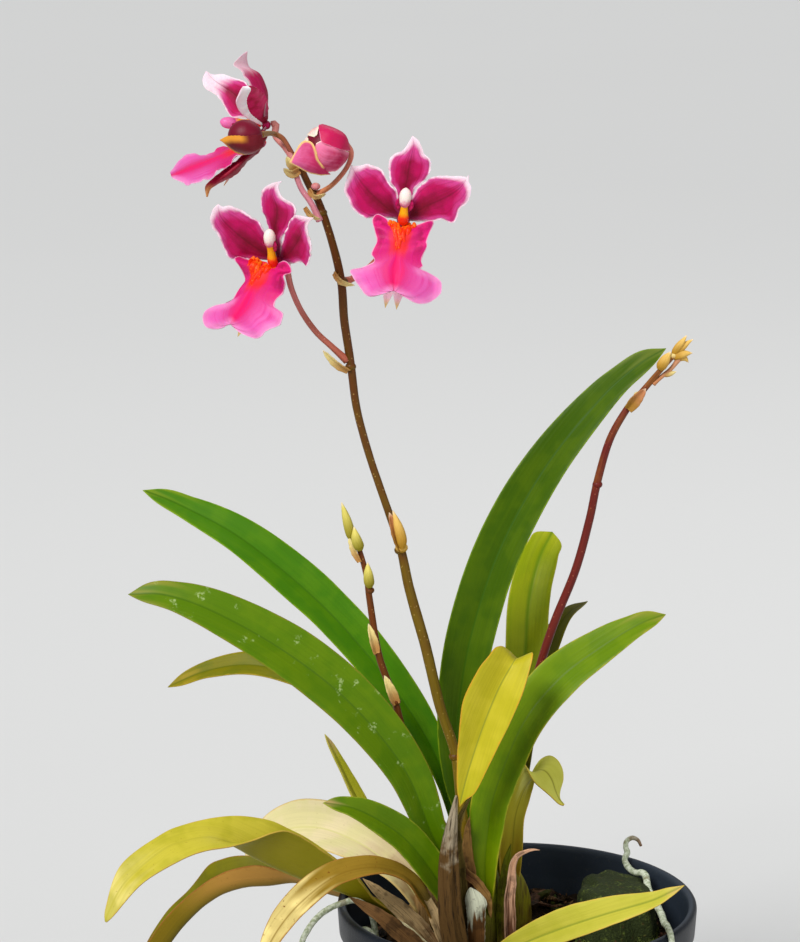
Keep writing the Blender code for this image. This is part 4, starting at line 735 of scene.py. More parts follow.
                (-99.7, 26, 110.2), (-104.7, 28, 107), (-111.5, 32, 97.1), (-120, 36, 87.1),
                (-128.2, 39, 72.2), (-131, 38, 61))),
        tints=dict(
            face=(112, 108, 8), second=(90, 90, 6), base=(120, 84, 34), tip=(120, 96, 12), rib=(104, 92, 6),
            rim=(150, 96, 40), under=(190, 136, 66), underTip=(124, 100, 14), gloss=0.55, rimWidth=0.5,
            ribWidth=4.4, mottle=0.5, specks=0.3)),
    "leafAmberFront": dict(
        node="leaf_amber_front", slot="leaf_yellow", width=11.5, outline="late", fold=(40, 16),
        look=((0.2, -0.5, 0.8), (-0.6, -0.7, 0.6)),
        path=((-27, 2, 92), (-28, -8, 99), (-31, -14, 109), (-37, -19, 119), (-47, -26, 125),
            (-59, -33, 125), (-70, -40, 119), (-78, -45, 111), (-85, -49, 99)),
        tints=dict(
            face=(146, 116, 40), second=(118, 96, 28), base=(184, 164, 110), tip=(234, 212, 136),
            rib=(130, 102, 34), rim=(160, 110, 48), under=(136, 114, 50), baseEnd=0.36, tipStart=0.68,
            gloss=0.78, streak=0.55, specks=0.9, shine=0.08)),
    "leafFrontRight": dict(
        node="leaf_front_right", slot="leaf_yellow", width=12.8, outline="tapered", fold=(34, 14),
        look=((-0.2, -0.8, 0.7), (-0.2, -0.8, 0.7)),
        path=((-8, -22, 92), (-3, -27, 97), (4, -31, 102), (14, -36, 108), (27, -42, 114.8), (41, -47, 121),
            (47, -48.4, 124.4), (52, -49, 127.3)),
        tints=dict(
            face=(186, 180, 66), second=(164, 164, 44), base=(130, 128, 30), tip=(214, 166, 120),
            rib=(120, 132, 40), rim=(204, 172, 76), under=(160, 152, 56), tipStart=0.95, ribWidth=0.8)),
}


# Leaf finish: base, face and tip colours along the leaf, mottled and streaked along the veins, a midrib line,
# a thin margin, a paler under side, brown specks, silvery scuffs, and fine parallel veins in relief
def leafPaint(name, tints):
    how = {**leafTints, **tints}
    face, second, tip, under = (how[k] for k in ("face", "second", "tip", "under"))
    p = Paint(name, how["base"])
    slow = p.noise(9, 2)
    vein = p.noise(1, 2, p.surface(1.5, 0.03))
    broad = p.noise(1, 1, p.surface(0.35, 0.02))
    drift = p.stray(p.along, broad, 0.35)
    p.coat(face, drift, 0, how["baseEnd"])
    p.coat(tip, drift, how["tipStart"] - 0.06, min(how["tipStart"] + 0.1, 1.06))
    p.coat(second, slow, 0.4, 0.62, how["mottle"])
    p.coat(face, vein, 0.42, 0.7, 0.3 * how["streak"], 0.45)
    p.coat(second, broad, 0.5, 0.72, 0.5 * how["streak"])
    if "underTip" in how:
        under = p.mix(p.ease(p.along, 0.5, 0.75), ink(under), ink(how["underTip"]))
    p.coat(under, p.under, 0.4, 0.6, 0.8)
    p.coat(how["rib"], p.size(p.mark("reach", 0)), how["ribWidth"], 0, 0.75)
    edge = p.stray(p.fromEdge, p.noise(2.5, 2), 0.8)
    p.coat(how["rim"], edge, how["rimWidth"], 0, 0.85)
    if how["specks"]:
        p.coat(how["burn"], p.noise(1.1, 3), 0.66, 0.74, how["specks"])
    if how["burnt"]:
        p.coat(how["burn"], edge, 0.5, 0, how["burnt"])
    rough = p.sum(p.times(slow, 0.16), how["gloss"] - 0.08)
    if how["scuffs"]:
        scuff = p.times(p.ease(p.noise(5, 3), 0.6, 0.7), p.ease(p.noise(0.9, 3), 0.46, 0.62))
        p.coat((176, 196, 130), p.times(scuff, how["scuffs"]))
        rough = p.sum(rough, p.times(scuff, 0.2))
    height = p.both(p.ease(vein, 0.3, 0.7), 0.6, p.noise(0.35, 2), 0.3)
    return p.done(rough, height, how["relief"], how["shine"])


for number, (name, how) in enumerate(leaves.items()):
    if "lines" in how:
        body = spread(how["lines"], rows=84, columns=30, crease=0.45, ruffle=0.3, waves=2.5, thick=0.95,
                      seed=20 + number)
    else:
        rows = 84 if len(how["path"]) > 8 else 60
        body = blade(how["path"], how["width"], how["outline"], how["look"], how["fold"], rows=rows,
                     ripple=0.45, waves=2.5, ruffle=0.006, groove=0.28, keel=0.5, twist=4, seed=20 + number,
                     thick=0.95)
    piece(name, [body], [leafPaint(name + "Paint", how["tints"])], [how["node"]])
print("leaves made:", len(leaves))


# Pseudobulbs: ridged, tapering bodies; wrinkles run along the ridges

bulbs = {
    "bulbMain": dict(
        node="bulb_main", slot="bulb_green", deep=0.7, ridges=6, ridge=0.045, wrinkle=0.012,
        path=((-13, -3, 84), (-13, -3, 98), (-13.5, -2.5, 113), (-14, -2, 127)),
        radii=((0, 3.0), (0.05, 4.9), (0.25, 7.6), (0.5, 8.0), (0.75, 6.6), (0.95, 3.0), (1, 1.6)),
        low=(132, 124, 50), high=(136, 148, 30), crease=(104, 88, 40), rough=0.5),
    "bulbDry": dict(
        node="bulb_dry", slot="bulb_dry", deep=0.85, ridges=5, ridge=0.16, wrinkle=0.1,
        path=((-19, -21, 84), (-21, -23.5, 98), (-23, -24.5, 112), (-23.4, -24.8, 130), (-20.8, -25, 149.5)),
        radii=((0, 2.6), (0.05, 3.0), (0.25, 3.5), (0.5, 3.2), (0.68, 2.9), (0.84, 1.8), (1, 0.4)),
        low=(88, 64, 32), high=(150, 136, 112), crease=(40, 28, 12), rough=0.85, turnAt=(0.7, 0.86)),
    "bulbLeft": dict(
        node="bulb_left", slot="bulb_dry", deep=0.82, ridges=6, ridge=0.07, wrinkle=0.05,
        path=((-30, 5, 84), (-30.5, 5, 95), (-31, 5.5, 107)),
        radii=((0, 3.0), (0.05, 4.8), (0.25, 7.4), (0.5, 7.2), (0.75, 5.0), (0.95, 2.2), (1, 1.2)),
        low=(100, 64, 30), high=(150, 116, 70), crease=(60, 38, 20), rough=0.75),
    "bulbBack": dict(
        node="bulb_back", slot="bulb_green", deep=0.74, ridges=6, ridge=0.05, wrinkle=0.015,
        path=((-2, 14, 84), (-2, 14, 98), (-2, 14.5, 112)),
        radii=((0, 2.8), (0.05, 4.4), (0.25, 6.8), (0.5, 7.0), (0.75, 5.6), (0.95, 2.6), (1, 1.4)),
        low=(110, 90, 30), high=(130, 124, 24), crease=(80, 60, 24), rough=0.55),
    "bulbFront": dict(
        node="bulb_front", slot="bulb_green", deep=0.8, ridges=5, ridge=0.05, wrinkle=0.02,
        path=((-9, -21, 85), (-8.5, -21.5, 91), (-7.5, -22, 97)),
        radii=((0, 2.2), (0.05, 3.1), (0.25, 4.6), (0.5, 4.4), (0.75, 3.0), (0.95, 1.7), (1, 1.0)),
        low=(130, 88, 40), high=(120, 116, 30), crease=(84, 56, 26), rough=0.55),
}


# Bulb finish: from low to high along it with blotches, creases in grain that follows the ridges
def bulbPaint(name, how):
    p = Paint(name, how["low"])
    blotch = p.noise(5, 3)
    grain = p.noise(1, 3, p.surface(1.3, 0.12))
    p.coat(how["high"], p.stray(p.along, blotch, 0.7), *how.get("turnAt", (0.2, 0.62)))
    p.coat(how["crease"], grain, 0.5, 0.68, 0.85)
    p.coat(how["crease"], p.noise(0.8, 3), 0.6, 0.75, 0.4)
    rough = p.sum(p.times(blotch, 0.2), how["rough"] - 0.1)
    return p.done(rough, p.both(grain, 0.8, p.noise(0.4, 2), 0.2), 0.5)


for number, (name, how) in enumerate(bulbs.items()):
    def ridged(a, s, how=how, number=number):
        ridge = how["ridge"] * np.cos(how["ridges"] * a + 0.8 * np.sin(2.5 * s + number))
        crease = wander2(3 * a + 1.5 * np.sin(4 * s), 2.2 * s, 40 + number, 2.2)
        seam = np.sin(2 * a) * np.sin(9 * s + number)
        wrinkles = crease * np.cos(a) ** 2 + np.cos(9 * a + 3 * s) * 0.6 + 0.4 * seam
        return 1 + ridge + how["wrinkle"] * wrinkles

    body = tube(how["path"], how["radii"], rows=56, sides=72, deep=how["deep"], form=ridged)
    piece(name, [body], [bulbPaint(name + "Paint", how)], [how["node"]])
print("bulbs made:", len(bulbs))


# Dry sheaths round the bulbs: thin curled blades with torn edges, some with more strips beside them, and one
# that stands as a pale tent, given as three lines

sheaths = {
    "sheathDryCurl": dict(
        node="sheath_dry_curl", slot="sheath_brown", low=(96, 62, 40), high=(204, 160, 128),
        turnAt=(0.32, 0.56),
        strips=(
            dict(
                path=((-2.8, -8.5, 84), (-2.8, -8.8, 94), (-2.9, -9, 107), (-2.2, -8.5, 113.5),
                    (-1.7, -8.5, 119), (-0.2, -9, 122.8), (2.4, -10, 124.9), (5, -10.5, 126),
                    (7.2, -10.6, 126)),
                width=5.4, fold=(50, 55), look=((0.4, -1, 0), (-0.3, -0.6, 1))),)),
    "sheathOlive": dict(
        node="sheath_olive", slot="bulb_green", low=(112, 84, 30), high=(118, 126, 16),
        strips=(
            dict(
                path=((-4.2, -5.6, 84), (-4.5, -5.7, 94.5), (-4.8, -5.6, 105), (-4.6, -5.2, 113),
                    (-3.6, -4.2, 120.5), (-2.1, -3.2, 126)),
                width=5.8, fold=(35, 20), look=((0.1, -1, 0), (0.3, -1, 0))),)),
    "sheathPaper": dict(
        node="sheath_paper", slot="sheath_paper", low=(104, 70, 36), high=(206, 208, 182),
        turnAt=(0.5, 0.62),
        strips=(
            dict(
                lines=(
                    ((-16.6, -16, 92), (-16.9, -18, 100), (-17.0, -18.5, 106), (-17.6, -18.5, 111.4),
                        (-17.2, -18.5, 113.9), (-16.2, -18.5, 115.8)),
                    ((-14, -17, 92), (-14, -18.5, 100), (-14.1, -19.8, 107), (-14.5, -20, 111.2),
                        (-15.4, -19.5, 114.2), (-16, -18.5, 115.9)),
                    ((-11, -16, 92), (-11, -18, 100), (-11, -18.5, 107), (-10.6, -18.5, 110.7),
                        (-12.8, -18.5, 113.9), (-15.8, -18.5, 115.8)))),
            dict(
                path=((-19.7, -17, 123), (-17.1, -17.3, 120), (-14.1, -17.3, 117.4), (-12.1, -17.2, 114.7),
                    (-10.1, -17, 111.3), (-9, -16, 104)),
                width=3.4, fold=(25, 10), look=((0, -1, 0.3), (0, -1, 0.3)), other=1))),
    "sheathStrip": dict(
        node="sheath_strip", slot="sheath_brown", low=(74, 58, 22), high=(104, 88, 40),
        strips=(
            dict(
                path=((-17.6, -16, 92), (-18.4, -17, 105), (-19.3, -18, 118.7), (-19.7, -19.5, 125),
                    (-20.2, -20.5, 130.4), (-20.6, -21.5, 134.8), (-20.2, -22, 138.5), (-19, -21.5, 142.4),
                    (-16.8, -19.5, 146), (-14.7, -17, 148.7)),
                width=4.2, fold=(25, 35), look=((0.3, -1, 0), (0.5, -1, 0.3))),
            dict(
                path=((-15.4, -13, 110), (-16.2, -14, 120), (-17, -14, 124.5), (-17, -14, 130),
                    (-16.8, -14, 135.4), (-16.1, -14, 139)),
                width=4.4, fold=(25, 10), look=((0.2, -1, 0), (0.2, -1, 0)), other=1))),
    "sheathLeftBrown": dict(
        node="sheath_left_brown", slot="sheath_brown", low=(96, 62, 30), high=(196, 166, 118),
        other=((160, 136, 90), (224, 212, 164)),
        strips=(
            dict(
                path=((-25, -9, 84), (-30, -11, 94), (-37, -13.5, 104), (-44, -15, 111), (-51.5, -15.5, 118)),
                width=7.5, fold=(30, 20), look=((0.2, -0.9, 0.5), (0.2, -0.9, 0.5))),
            dict(
                path=((-25, -13, 84), (-30, -16, 93), (-37, -18.5, 101.5), (-43, -20, 107)),
                width=3.6, fold=(25, 10), look=((0.2, -0.9, 0.5), (0.2, -0.9, 0.5)), other=1),
            dict(
                path=((-23, -11, 88), (-26, -12.5, 99), (-30, -13.5, 109), (-35, -14, 118)),
                width=5, fold=(25, 20), look=((0.4, -0.9, 0.4), (0.2, -0.9, 0.5))))),
    "sheathLowBrown": dict(
        node="sheath_low_brown", slot="sheath_brown", low=(56, 38, 18), high=(112, 80, 46),
        other=((96, 64, 30), (150, 112, 66)),
        strips=(
            dict(
                path=((-25, -20, 84), (-31.5, -23.5, 93.5), (-39, -26.5, 102.5), (-47, -29.5, 110.5),
                    (-56, -32, 117.5)),
                width=7.5, fold=(30, 20), look=((0.2, -0.9, 0.5), (0.2, -0.8, 0.6))),
            dict(
                path=((-25, -26, 85), (-30, -28.5, 91.5), (-36, -31, 96.5), (-42, -33, 99.5)),
                width=4, fold=(25, 20), look=((0.3, -0.9, 0.3), (0.2, -0.9, 0.5)), other=1))),
}


# Sheath finish: darker at the foot, fibres along it and dark flecks. Paint 1 holds the piece's other colours
def sheathPaint(name, low, high, turnAt=(0.05, 0.6)):
    p = Paint(name, low)
    fibre = p.noise(1, 4, p.surface(3.0, 0.06))
    broad = p.noise(1, 2, p.surface(0.6, 0.05))
    p.coat(high, p.stray(p.along, broad, 1.1), *turnAt)
    p.coat(low, fibre, 0.5, 0.68, 0.55, 0.3)
    p.coat(low, p.noise(1.2, 3), 0.62, 0.7, 0.35, 0.3)
    p.coat(low, p.noise(4, 3), 0.5, 0.66, 0.5, 0.3)
    p.coat(high, p.fromEdge, 0.45, 0.1, 0.4)
    return p.done(p.sum(p.times(broad, 0.2), 0.66), fibre, 0.35)


for number, (name, how) in enumerate(sheaths.items()):
    solids = []
    for k, strip in enumerate(how["strips"]):
        seed, paint = 60 + number + 20 * k, strip.get("other", 0)
        if "lines" in strip:
            solids.append(spread(strip["lines"], rows=36, columns=24, crease=0.5, ruffle=0.5, nibble=0.2,
                                 thick=0.6, seed=seed))
        else:
            solids.append(blade(strip["path"], strip["width"], "sheath", strip["look"], strip["fold"],
                                soft=0.3, thick=0.7, rows=48, columns=24, ripple=0.7, waves=3, ruffle=0.07,
                                twist=12, seed=seed, paint=paint))
    paints = [sheathPaint(name + "Paint", how["low"], how["high"], how.get("turnAt", (0.05, 0.6))),
              sheathPaint(name + "Other", *how.get("other", ((78, 46, 20), (140, 104, 56))))]
    piece(name, solids, paints, [how["node"]])
print("sheaths made:", len(sheaths))


# Flowers. Each has a place and a turn (yaw, pitch, roll). Its sepal and petals are outlines in mm: (along,
# across) on a plane that points away from the flower's middle at an angle and leans forward. The lip's
# outlines are (down, across). The flower seen from the side has its parts as lines in space instead

blooms = {
    "bloomRight": dict(
        node="bloom_right", at=(-38, -14, 337), turn=(-2, -2, 5.5), low=-2, column=0, lip=12, ears=(0, 1.2),
        slant=0, capDown=1.4, swing=2.5,
        petals=(
            dict(
                angle=90, lean=4, bow=0.8,
                left=((1.5, 1.2), (8.8, 3.1), (10.8, 5.0), (13, 5.6), (16.1, 6.2), (18.6, 6.1), (20.2, 5.2),
                    (21.2, 3.6), (22.1, 2.1), (23.8, 1.1), (25.4, 0.4), (26.9, -0.3)),
                middle=((1.5, 0), (9, 0.3), (18, -0.3), (24, -0.9), (26.9, -0.3)),
                right=((1.5, -1.2), (9.4, -2.5), (10.6, -3.2), (12.8, -5.2), (15.2, -6.6), (17.9, -7.1),
                    (20.1, -6.5), (21.5, -4.6), (23.8, -3.5), (25.7, -2.2), (26.9, -0.3))),
            dict(
                angle=151, lean=5, bow=1.2,
                left=((1, 0.8), (4, 2), (7, 4), (9.7, 6.0), (12.5, 6.5), (15.4, 6.1), (17.9, 4.5),
                    (20.6, 3.1), (21.9, 0.2), (22.7, -2.5), (23.5, -4.9)),
                middle=((1, 0), (8, -0.4), (15, -1.6), (20, -3.2), (23.5, -4.9)),
                right=((1, -0.8), (4, -3.5), (7.3, -6.2), (9.9, -6.9), (12.2, -8.0), (14.4, -9.2),
                    (16.3, -9.2), (18, -8.6), (19.6, -8.1), (20.6, -6.9), (22.3, -5.4), (23.5, -4.9))),
            dict(
                angle=30, lean=5, bow=1.2,
                left=((1, 0.8), (4, 4), (7.1, 6.5), (8.6, 7.5), (11.4, 8.2), (14, 8.6), (17.1, 7.8),
                    (19.8, 6.4), (22.3, 5.3), (24.2, 4.1), (24.9, 4.5)),
                middle=((1, 0), (8, 1), (16, 1.2), (21, 2.2), (24.9, 4.5)),
                right=((1, -0.8), (4, -2.4), (8.2, -4.1), (11.3, -4.9), (13.9, -7.2), (15.8, -6.3),
                    (17.4, -4.4), (18.7, -3.7), (20.6, -3.3), (22.6, -1.6), (24, 0.8), (24, 2.7),
                    (24.9, 4.5)))),
        lipLines=(
            ((0.4, -1.4), (-0.4, -4.0), (-2.0, -5.5), (-3.0, -8.5), (-0.7, -9.7), (2.9, -8.5), (5.6, -7.6),
                (8.4, -8.4), (10.2, -8.8), (12.3, -7.7), (14.4, -11.3), (15.7, -15.0), (17.8, -13.9),
                (21.0, -11.3), (23.5, -8.4), (22.7, -4.7), (21.3, -1.3)),
            ((0.4, 0), (8, -0.5), (15, -0.9), (21.2, -0.6)),
            ((0.4, 1.4), (-1.0, 4.8), (-2.6, 8.2), (-2.2, 9.7), (0.6, 9.0), (4.4, 8.1), (5.9, 8.5),
                (9.9, 7.1), (12.3, 7.8), (13.1, 7.0), (13.9, 9.5), (15.5, 12.8), (17.1, 14.2), (20.2, 14.1),
                (23.1, 11.3), (24.2, 7.5), (23.0, 3.8), (21.4, 0.3)))),
    "bloomLeft": dict(
        node="bloom_left", at=(-77.3, -12, 323.3), turn=(-36, 0, 9), low=2, column=12, lip=20, ears=(0, 6.4),
        slant=0, crest=-3.3, swing=22, short=(1.1, 0.9),
        petals=(
            dict(
                angle=90, lean=12, bow=0.8,
                left=((1.5, 1.4), (6, 2.2), (10.4, 3.4), (12.6, 4.6), (16.5, 6.3), (20.3, 7.0), (23.6, 5.7),
                    (26.3, 2.3), (28, -1.6)),
                middle=((1.5, 0), (10, 0.8), (18, -0.2), (23, 2.0), (26, 1.0), (28, -1.6)),
                right=((1.5, -1.2), (6, -1.5), (8.8, -1.7), (13.1, -5.2), (18.7, -7.4), (21.3, -6.1),
                    (22.9, -1.7), (25.9, -0.3), (28, -1.6))),
            dict(
                angle=146, lean=30, bow=1.0,
                left=((1, 0.8), (5, 3.6), (11.2, 8.8), (13.6, 9.4), (16.8, 7.6), (19.5, 5.4), (23, 4.4),
                    (25.5, 2.1), (26.8, -1.4), (26.6, -4)),
                middle=((1, 0), (9, 0.4), (17, 0), (23, -1), (26.6, -4)),
                right=((1, -0.8), (5, -3.6), (10, -6.5), (12.5, -7.8), (16.6, -7.8), (20, -7.3),
                    (23.3, -6.2), (24.8, -4.3), (26.6, -4))),
            dict(
                angle=46, lean=18, bow=0.6,
                left=((1, 0.8), (6, 3), (12, 5.2), (17, 6.4), (20.3, 6.3), (24.7, 3.2), (27.9, 1.2)),
                middle=((1, 0), (9, -1), (17, 0), (23, 1.8), (27.9, 1.2)),
                right=((1, -0.8), (4.7, -3.5), (10.2, -5.8), (12.2, -8.2), (16, -6.9), (19.3, -5.2),
                    (21.1, -1.9), (23.7, 1.0), (27.9, 1.2)))),
        lipLines=(
            ((-0.8, -4.4), (0.1, -8.3), (-0.2, -12), (2.3, -8.9), (5.1, -8.1), (7.6, -7.3), (12.1, -7.7),
                (14.6, -9.4), (17.6, -15.7), (20.4, -18.4), (23.1, -18.4), (24.9, -15.5), (23.9, -11.2),
                (21.6, -5.8)),
            ((-0.9, -3.5), (5.6, -2.9), (14.4, -3.2), (21.5, -5.5)),
            ((-1.0, -2.4), (-1.5, 0.6), (-3.1, 4.4), (-1.9, 7.3), (2.6, 10.4), (5.7, 9.0), (8.5, 7.7),
                (11.4, 7.5), (12.6, 10.4), (14.4, 11.4), (17, 10.9), (19.6, 8.3), (22.1, 6.9), (23.3, 4.2),
                (23, -0.7), (21.6, -5.2)))),
    "bloomTop": dict(
        node="bloom_top", at=(-82, 8, 364), turn=(-77, 0, 0), low=41, column=80, short=(0.8, 0.8),
        lipInSpace=(
            ((-82.5, 11, 359), (-88.8, 14, 357.4), (-93.3, 15, 356.9), (-96.1, 16, 356.3),
                (-97.8, 15, 355.1), (-99.4, 13.5, 354.3), (-100.7, 13, 353.4), (-103.5, 15, 353.8),
                (-106.4, 16, 353.5), (-108.4, 16, 352.7), (-110.6, 15.5, 351.3), (-112, 13, 349.8),
                (-113.1, 9, 348.5)),
            ((-82, 7, 358.6), (-87.8, 6, 356.9), (-92.9, 5, 355.9), (-97.4, 4.5, 354.2), (-101.5, 4, 352.5),
                (-106.3, 3.5, 350.6), (-110.1, 2.5, 349.1), (-112.4, 2, 348.2)),
            ((-82.5, 1, 358), (-86.8, -3, 356.7), (-89.7, -6, 356.2), (-92.8, -5, 354.1), (-95.1, -6, 352.1),
                (-97.1, -8, 350.8), (-99.3, -9, 349.6), (-101.5, -9.5, 348.8), (-103.7, -9, 347.8),
                (-106.2, -7, 346.7), (-108.2, -4, 347.2), (-110.2, -2, 347.5), (-111.9, 0, 348.1))),
        inSpace=(
            dict(
                lines=(
                    ((-82.7, 9, 367.1), (-83.4, 12, 371.8), (-86, 14, 375.8), (-88.6, 14, 379.3),
                        (-89.9, 13, 382), (-90, 11, 384.8), (-87.9, 8, 387.7)),
                    ((-82, 7, 366.7), (-81.5, 8, 372.9), (-82.1, 8, 376.3), (-84, 8, 380.3),
                        (-87.2, 8, 382.3), (-88.1, 8, 385), (-87.9, 8, 387.7)),
                    ((-82.6, 5, 367), (-82.3, 3, 372.7), (-85.1, 1, 375.8), (-88.4, 0.5, 380.2),
                        (-89.4, 1, 382.2), (-91.9, 2, 384), (-89.9, 5, 386.4), (-87.9, 8, 387.7)))),
            dict(
                lines=(
                    ((-84, 9, 366.8), (-89.7, 11, 366.1), (-93.5, 13, 366.1), (-96.6, 15, 370.7),
                        (-98.7, 16.5, 372.8), (-101.7, 17.5, 374.4), (-102.8, 18.5, 377), (-101.7, 19, 380)),
                    ((-83.3, 9, 367.7), (-88.9, 12, 370.9), (-94.5, 15.5, 374.6), (-99.1, 18, 377.2),
                        (-101.7, 19, 380)),
                    ((-83.3, 9, 368.7), (-87.6, 12, 375.9), (-89.7, 14, 377.5), (-92.5, 16, 378.1),
                        (-96.3, 18, 379.1), (-99.4, 19, 378.8), (-101.7, 19, 380)))),
            dict(
                places=(-1, -0.2, 0.45, 1), paint=4,
                lines=(
                    ((-81.4, 8, 366.2), (-81.3, 6, 370.4), (-81.8, 2.5, 373.7), (-83.5, -1.5, 376.4),
                        (-85.9, -5.5, 378.2), (-87.1, -7, 378.4)),
                    ((-82, 8, 365.3), (-83.4, 3.5, 369.4), (-84.9, -0.5, 373.1), (-85.9, -4.5, 376.2),
                        (-87.4, -7, 378.2)),
                    ((-83.3, 7, 364.1), (-87.3, 2.5, 366.8), (-89.8, -0.5, 369.6), (-91, -3.5, 372.7),
                        (-89.9, -6, 375.7), (-88.7, -7.5, 378.3)),
                    ((-83.3, 6, 364.9), (-86.9, 1, 369), (-87.7, -3, 373.6), (-86.2, -6.5, 377.2),
                        (-87.1, -7, 378.4)))),
            dict(
                paint=5,
                lines=(
                    ((-82.9, 4, 362.9), (-85.7, 2, 359.3), (-88.6, 0, 355.7), (-93.3, -2, 352.6),
                        (-98.6, -4, 348.5), (-101, -5, 346.2), (-100.7, -5, 342.7)),
                    ((-81.9, 3, 362.3), (-84.7, 0, 357.9), (-87.8, -2.5, 355), (-92.6, -4.5, 351),
                        (-97.6, -6, 347.8), (-100.2, -6, 345.9), (-100.6, -5.5, 342.7)),
                    ((-81.1, 4, 361.6), (-83.5, 2, 357.1), (-87.1, 0.5, 353.8), (-91.9, -2, 349.2),
                        (-97.2, -4, 346.7), (-99.4, -5, 345.2), (-100.4, -5, 342.6)))))),
}
flowerTints = dict(
    # streak is the petals' dark midline and their darker base, the base partly painted shade
    deep=(124, 0, 44), mid=(186, 12, 88), pink=(212, 76, 150), white=(246, 222, 232), streak=(84, 0, 26),
    lip=(216, 36, 120), lipHot=(242, 10, 104), lipPale=(236, 106, 194), lipVein=(220, 30, 136),
                   lipRim=(250, 206, 234),
    # lobe is a darker crimson painted as shade in the hollows of the lip's side lobes
    # yolk is partly the crest's own yellow and partly painted highlight on its ridges
    lobe=(150, 10, 76), ember=(236, 44, 10), yolk=(250, 120, 30), gold=(240, 160, 10),
                   # sepalTip is the sepals' cream tip, lifted as painted light against the shade under the
                   # lip
                   sepalTip=(240, 204, 134),
    back=(186, 26, 80),
)


# Bud finish: colour along the tepal, a rim, paler tips and fine veins
def budPaint(name, low, high, rimTint, rim=0.5, tips=None, rimFrom=0.0, end=None):
    p = Paint(name, low)
    vein, cloud = p.noise(1, 2, p.fan(5.0, p.along)), p.noise(2.6, 2)
    p.coat(high, p.stray(p.stray(p.along, cloud, 0.6), vein, 0.5), 0.25, 0.9)
    if tips:
        p.coat(tips, p.stray(p.fromEdge, cloud, 1.4), 2.2, 0.2, 0.8)
    edge = p.ease(p.stray(p.fromEdge, cloud, 0.4), rim, rim * 0.3, 0.9)
    p.coat(rimTint, p.times(edge, p.ease(p.along, rimFrom - 0.1, rimFrom + 0.1)))
    if end:
        p.coat(end, p.along, 0.8, 0.95)
    return p.done(0.45, p.both(vein, 0.7, p.noise(0.3, 2), 0.3), 0.14, soft=0.08)


# Turns a path forward about the flower's middle: in the flower's plane at 0 degrees, along its axis at 90
def leaning(path, degrees):
    c, s = math.cos(math.radians(degrees)), math.sin(math.radians(degrees))
    x, y, z = np.array(path, float).T
    out = np.hypot(x, z)
    shrink = (c * out + s * y) / np.maximum(out, 1e-6)
    return np.column_stack([x * shrink, y * c - s * out, z * shrink])


# Points (along, across) of a petal's plane as points in space, lifted forward by a bow that is 0 at both ends
def onPlane(points, angle, lean, bow, long):
    p, q = np.array(points, float).T
    c, s = math.cos(math.radians(angle)), math.sin(math.radians(angle))
    forward = p * math.sin(math.radians(lean)) + bow * np.sin(math.pi * np.clip(p / long, 0,
                                                                                1)) - 0.06 * np.abs(q)
    out = p * math.cos(math.radians(lean))
    return np.column_stack([out * c - q * s, -0.3 - forward, out * s + q * c])


# Petal finish: crimson in the middle, then magenta, pink near the margin and a thin pale line along it.
# Towards the tip those bands widen to white, by how far the petal is tipped. Veins fan out along the petal.
# Towards the base it darkens, partly the petal's own deep crimson and partly painted shade
def tepalPaint(name, rim=1.0, whiteFrom=0.96, gold=False):
    p = Paint(name, "deep")
    vein = p.noise(1, 3, p.fan(6.0, p.times(p.along, 0.9), p.under))
    cloud, fine = p.noise(3.6, 2), p.noise(0.5, 3)
    ragged = p.stray(p.times(p.sum(cloud, -0.5), 1.1), vein, 1.5)
    wide = p.sum(1.0, p.times(p.ease(p.along, 0.45, 1.0), 1.7 * rim))
    band = p.add("Math", {0: p.sum(p.fromEdge, ragged), 1: wide}, operation="DIVIDE")
    p.coat("mid", p.sum(p.times(p.size(p.across), 0.8), p.stray(p.times(p.along, 0.9), cloud, 0.7)), 0.3, 1.0)
    p.coat("pink", band, 2.2, 0.4, 0.8)
    p.coat("deep", vein, 0.45, 0.68, 0.4)
    p.coat("white", band, 0.7, 0.1, 0.85)
    p.coat("white", p.fromEdge, 0.35, 0.1, 0.8)
    tipped = p.sum(p.along, p.both(p.sum(vein, -0.5), 0.2, p.size(p.across), 0.08))
    p.coat("white", tipped, whiteFrom - 0.12, whiteFrom + 0.1, 0.9)
    p.coat("streak", p.size(p.across), 0.08, 0.0, 0.35)
    # Darker towards the base: partly the petal's deep crimson and partly painted shade near the column
    p.coat("streak", p.along, 0.3, 0.04, 0.65)
    p.coat("deep", fine, 0.4, 0.8, 0.15)
    if gold:
        # Pale pink, then cream at the tips: the sepals' own colour, lifted as painted light against the shade
        # of the lip above them
        p.coat((255, 208, 222), p.along, 0.45, 0.7, 0.85)
        p.coat("sepalTip", p.along, 0.86, 0.97)
    p.coat("back", p.under, 0.4, 0.6, 0.3)
    height = p.both(vein, 0.7, p.noise(0.22, 2), 0.3)
    return p.done(p.sum(p.times(fine, 0.14), 0.45), height, 0.14, 0.18, 0.08)


# The back of a petal with its pale margin curled over: crimson, darker at its base (partly its own crimson
# and partly painted shade), then pink-white across it
def curledPaint():
    p = Paint("curledPetalPaint", (206, 30, 96))
    across = p.stray(p.across, p.noise(2.4, 2), 0.25)
    p.coat((166, 10, 60), p.noise(2.6, 3), 0.35, 0.7)
    # Darker at the base: partly the petal's own crimson and partly painted shade
    p.coat((110, 10, 26), p.along, 0.3, 0.02, 0.8)
    p.coat((248, 212, 226), across, 0.2, 0.42)
    p.coat((255, 250, 252), across, 0.4, 0.8)
    return p.done(0.45, p.noise(0.6, 3), 0.04, soft=0.08)


petalFinish = tepalPaint("petalPaint", 1.5)
sepalFinish = tepalPaint("sepalPaint", 0.3, 2.0, True)
sidePetalFinish = tepalPaint("sidePetalPaint", 2.6, 0.72)
curledFinish = curledPaint()
# The side flower's lower sepal: dark crimson, its tip golden tan
darkSepalFinish = budPaint("darkSepalPaint", (126, 8, 40), (160, 20, 52), (186, 70, 76), 0.5,
                           end=(216, 150, 90))


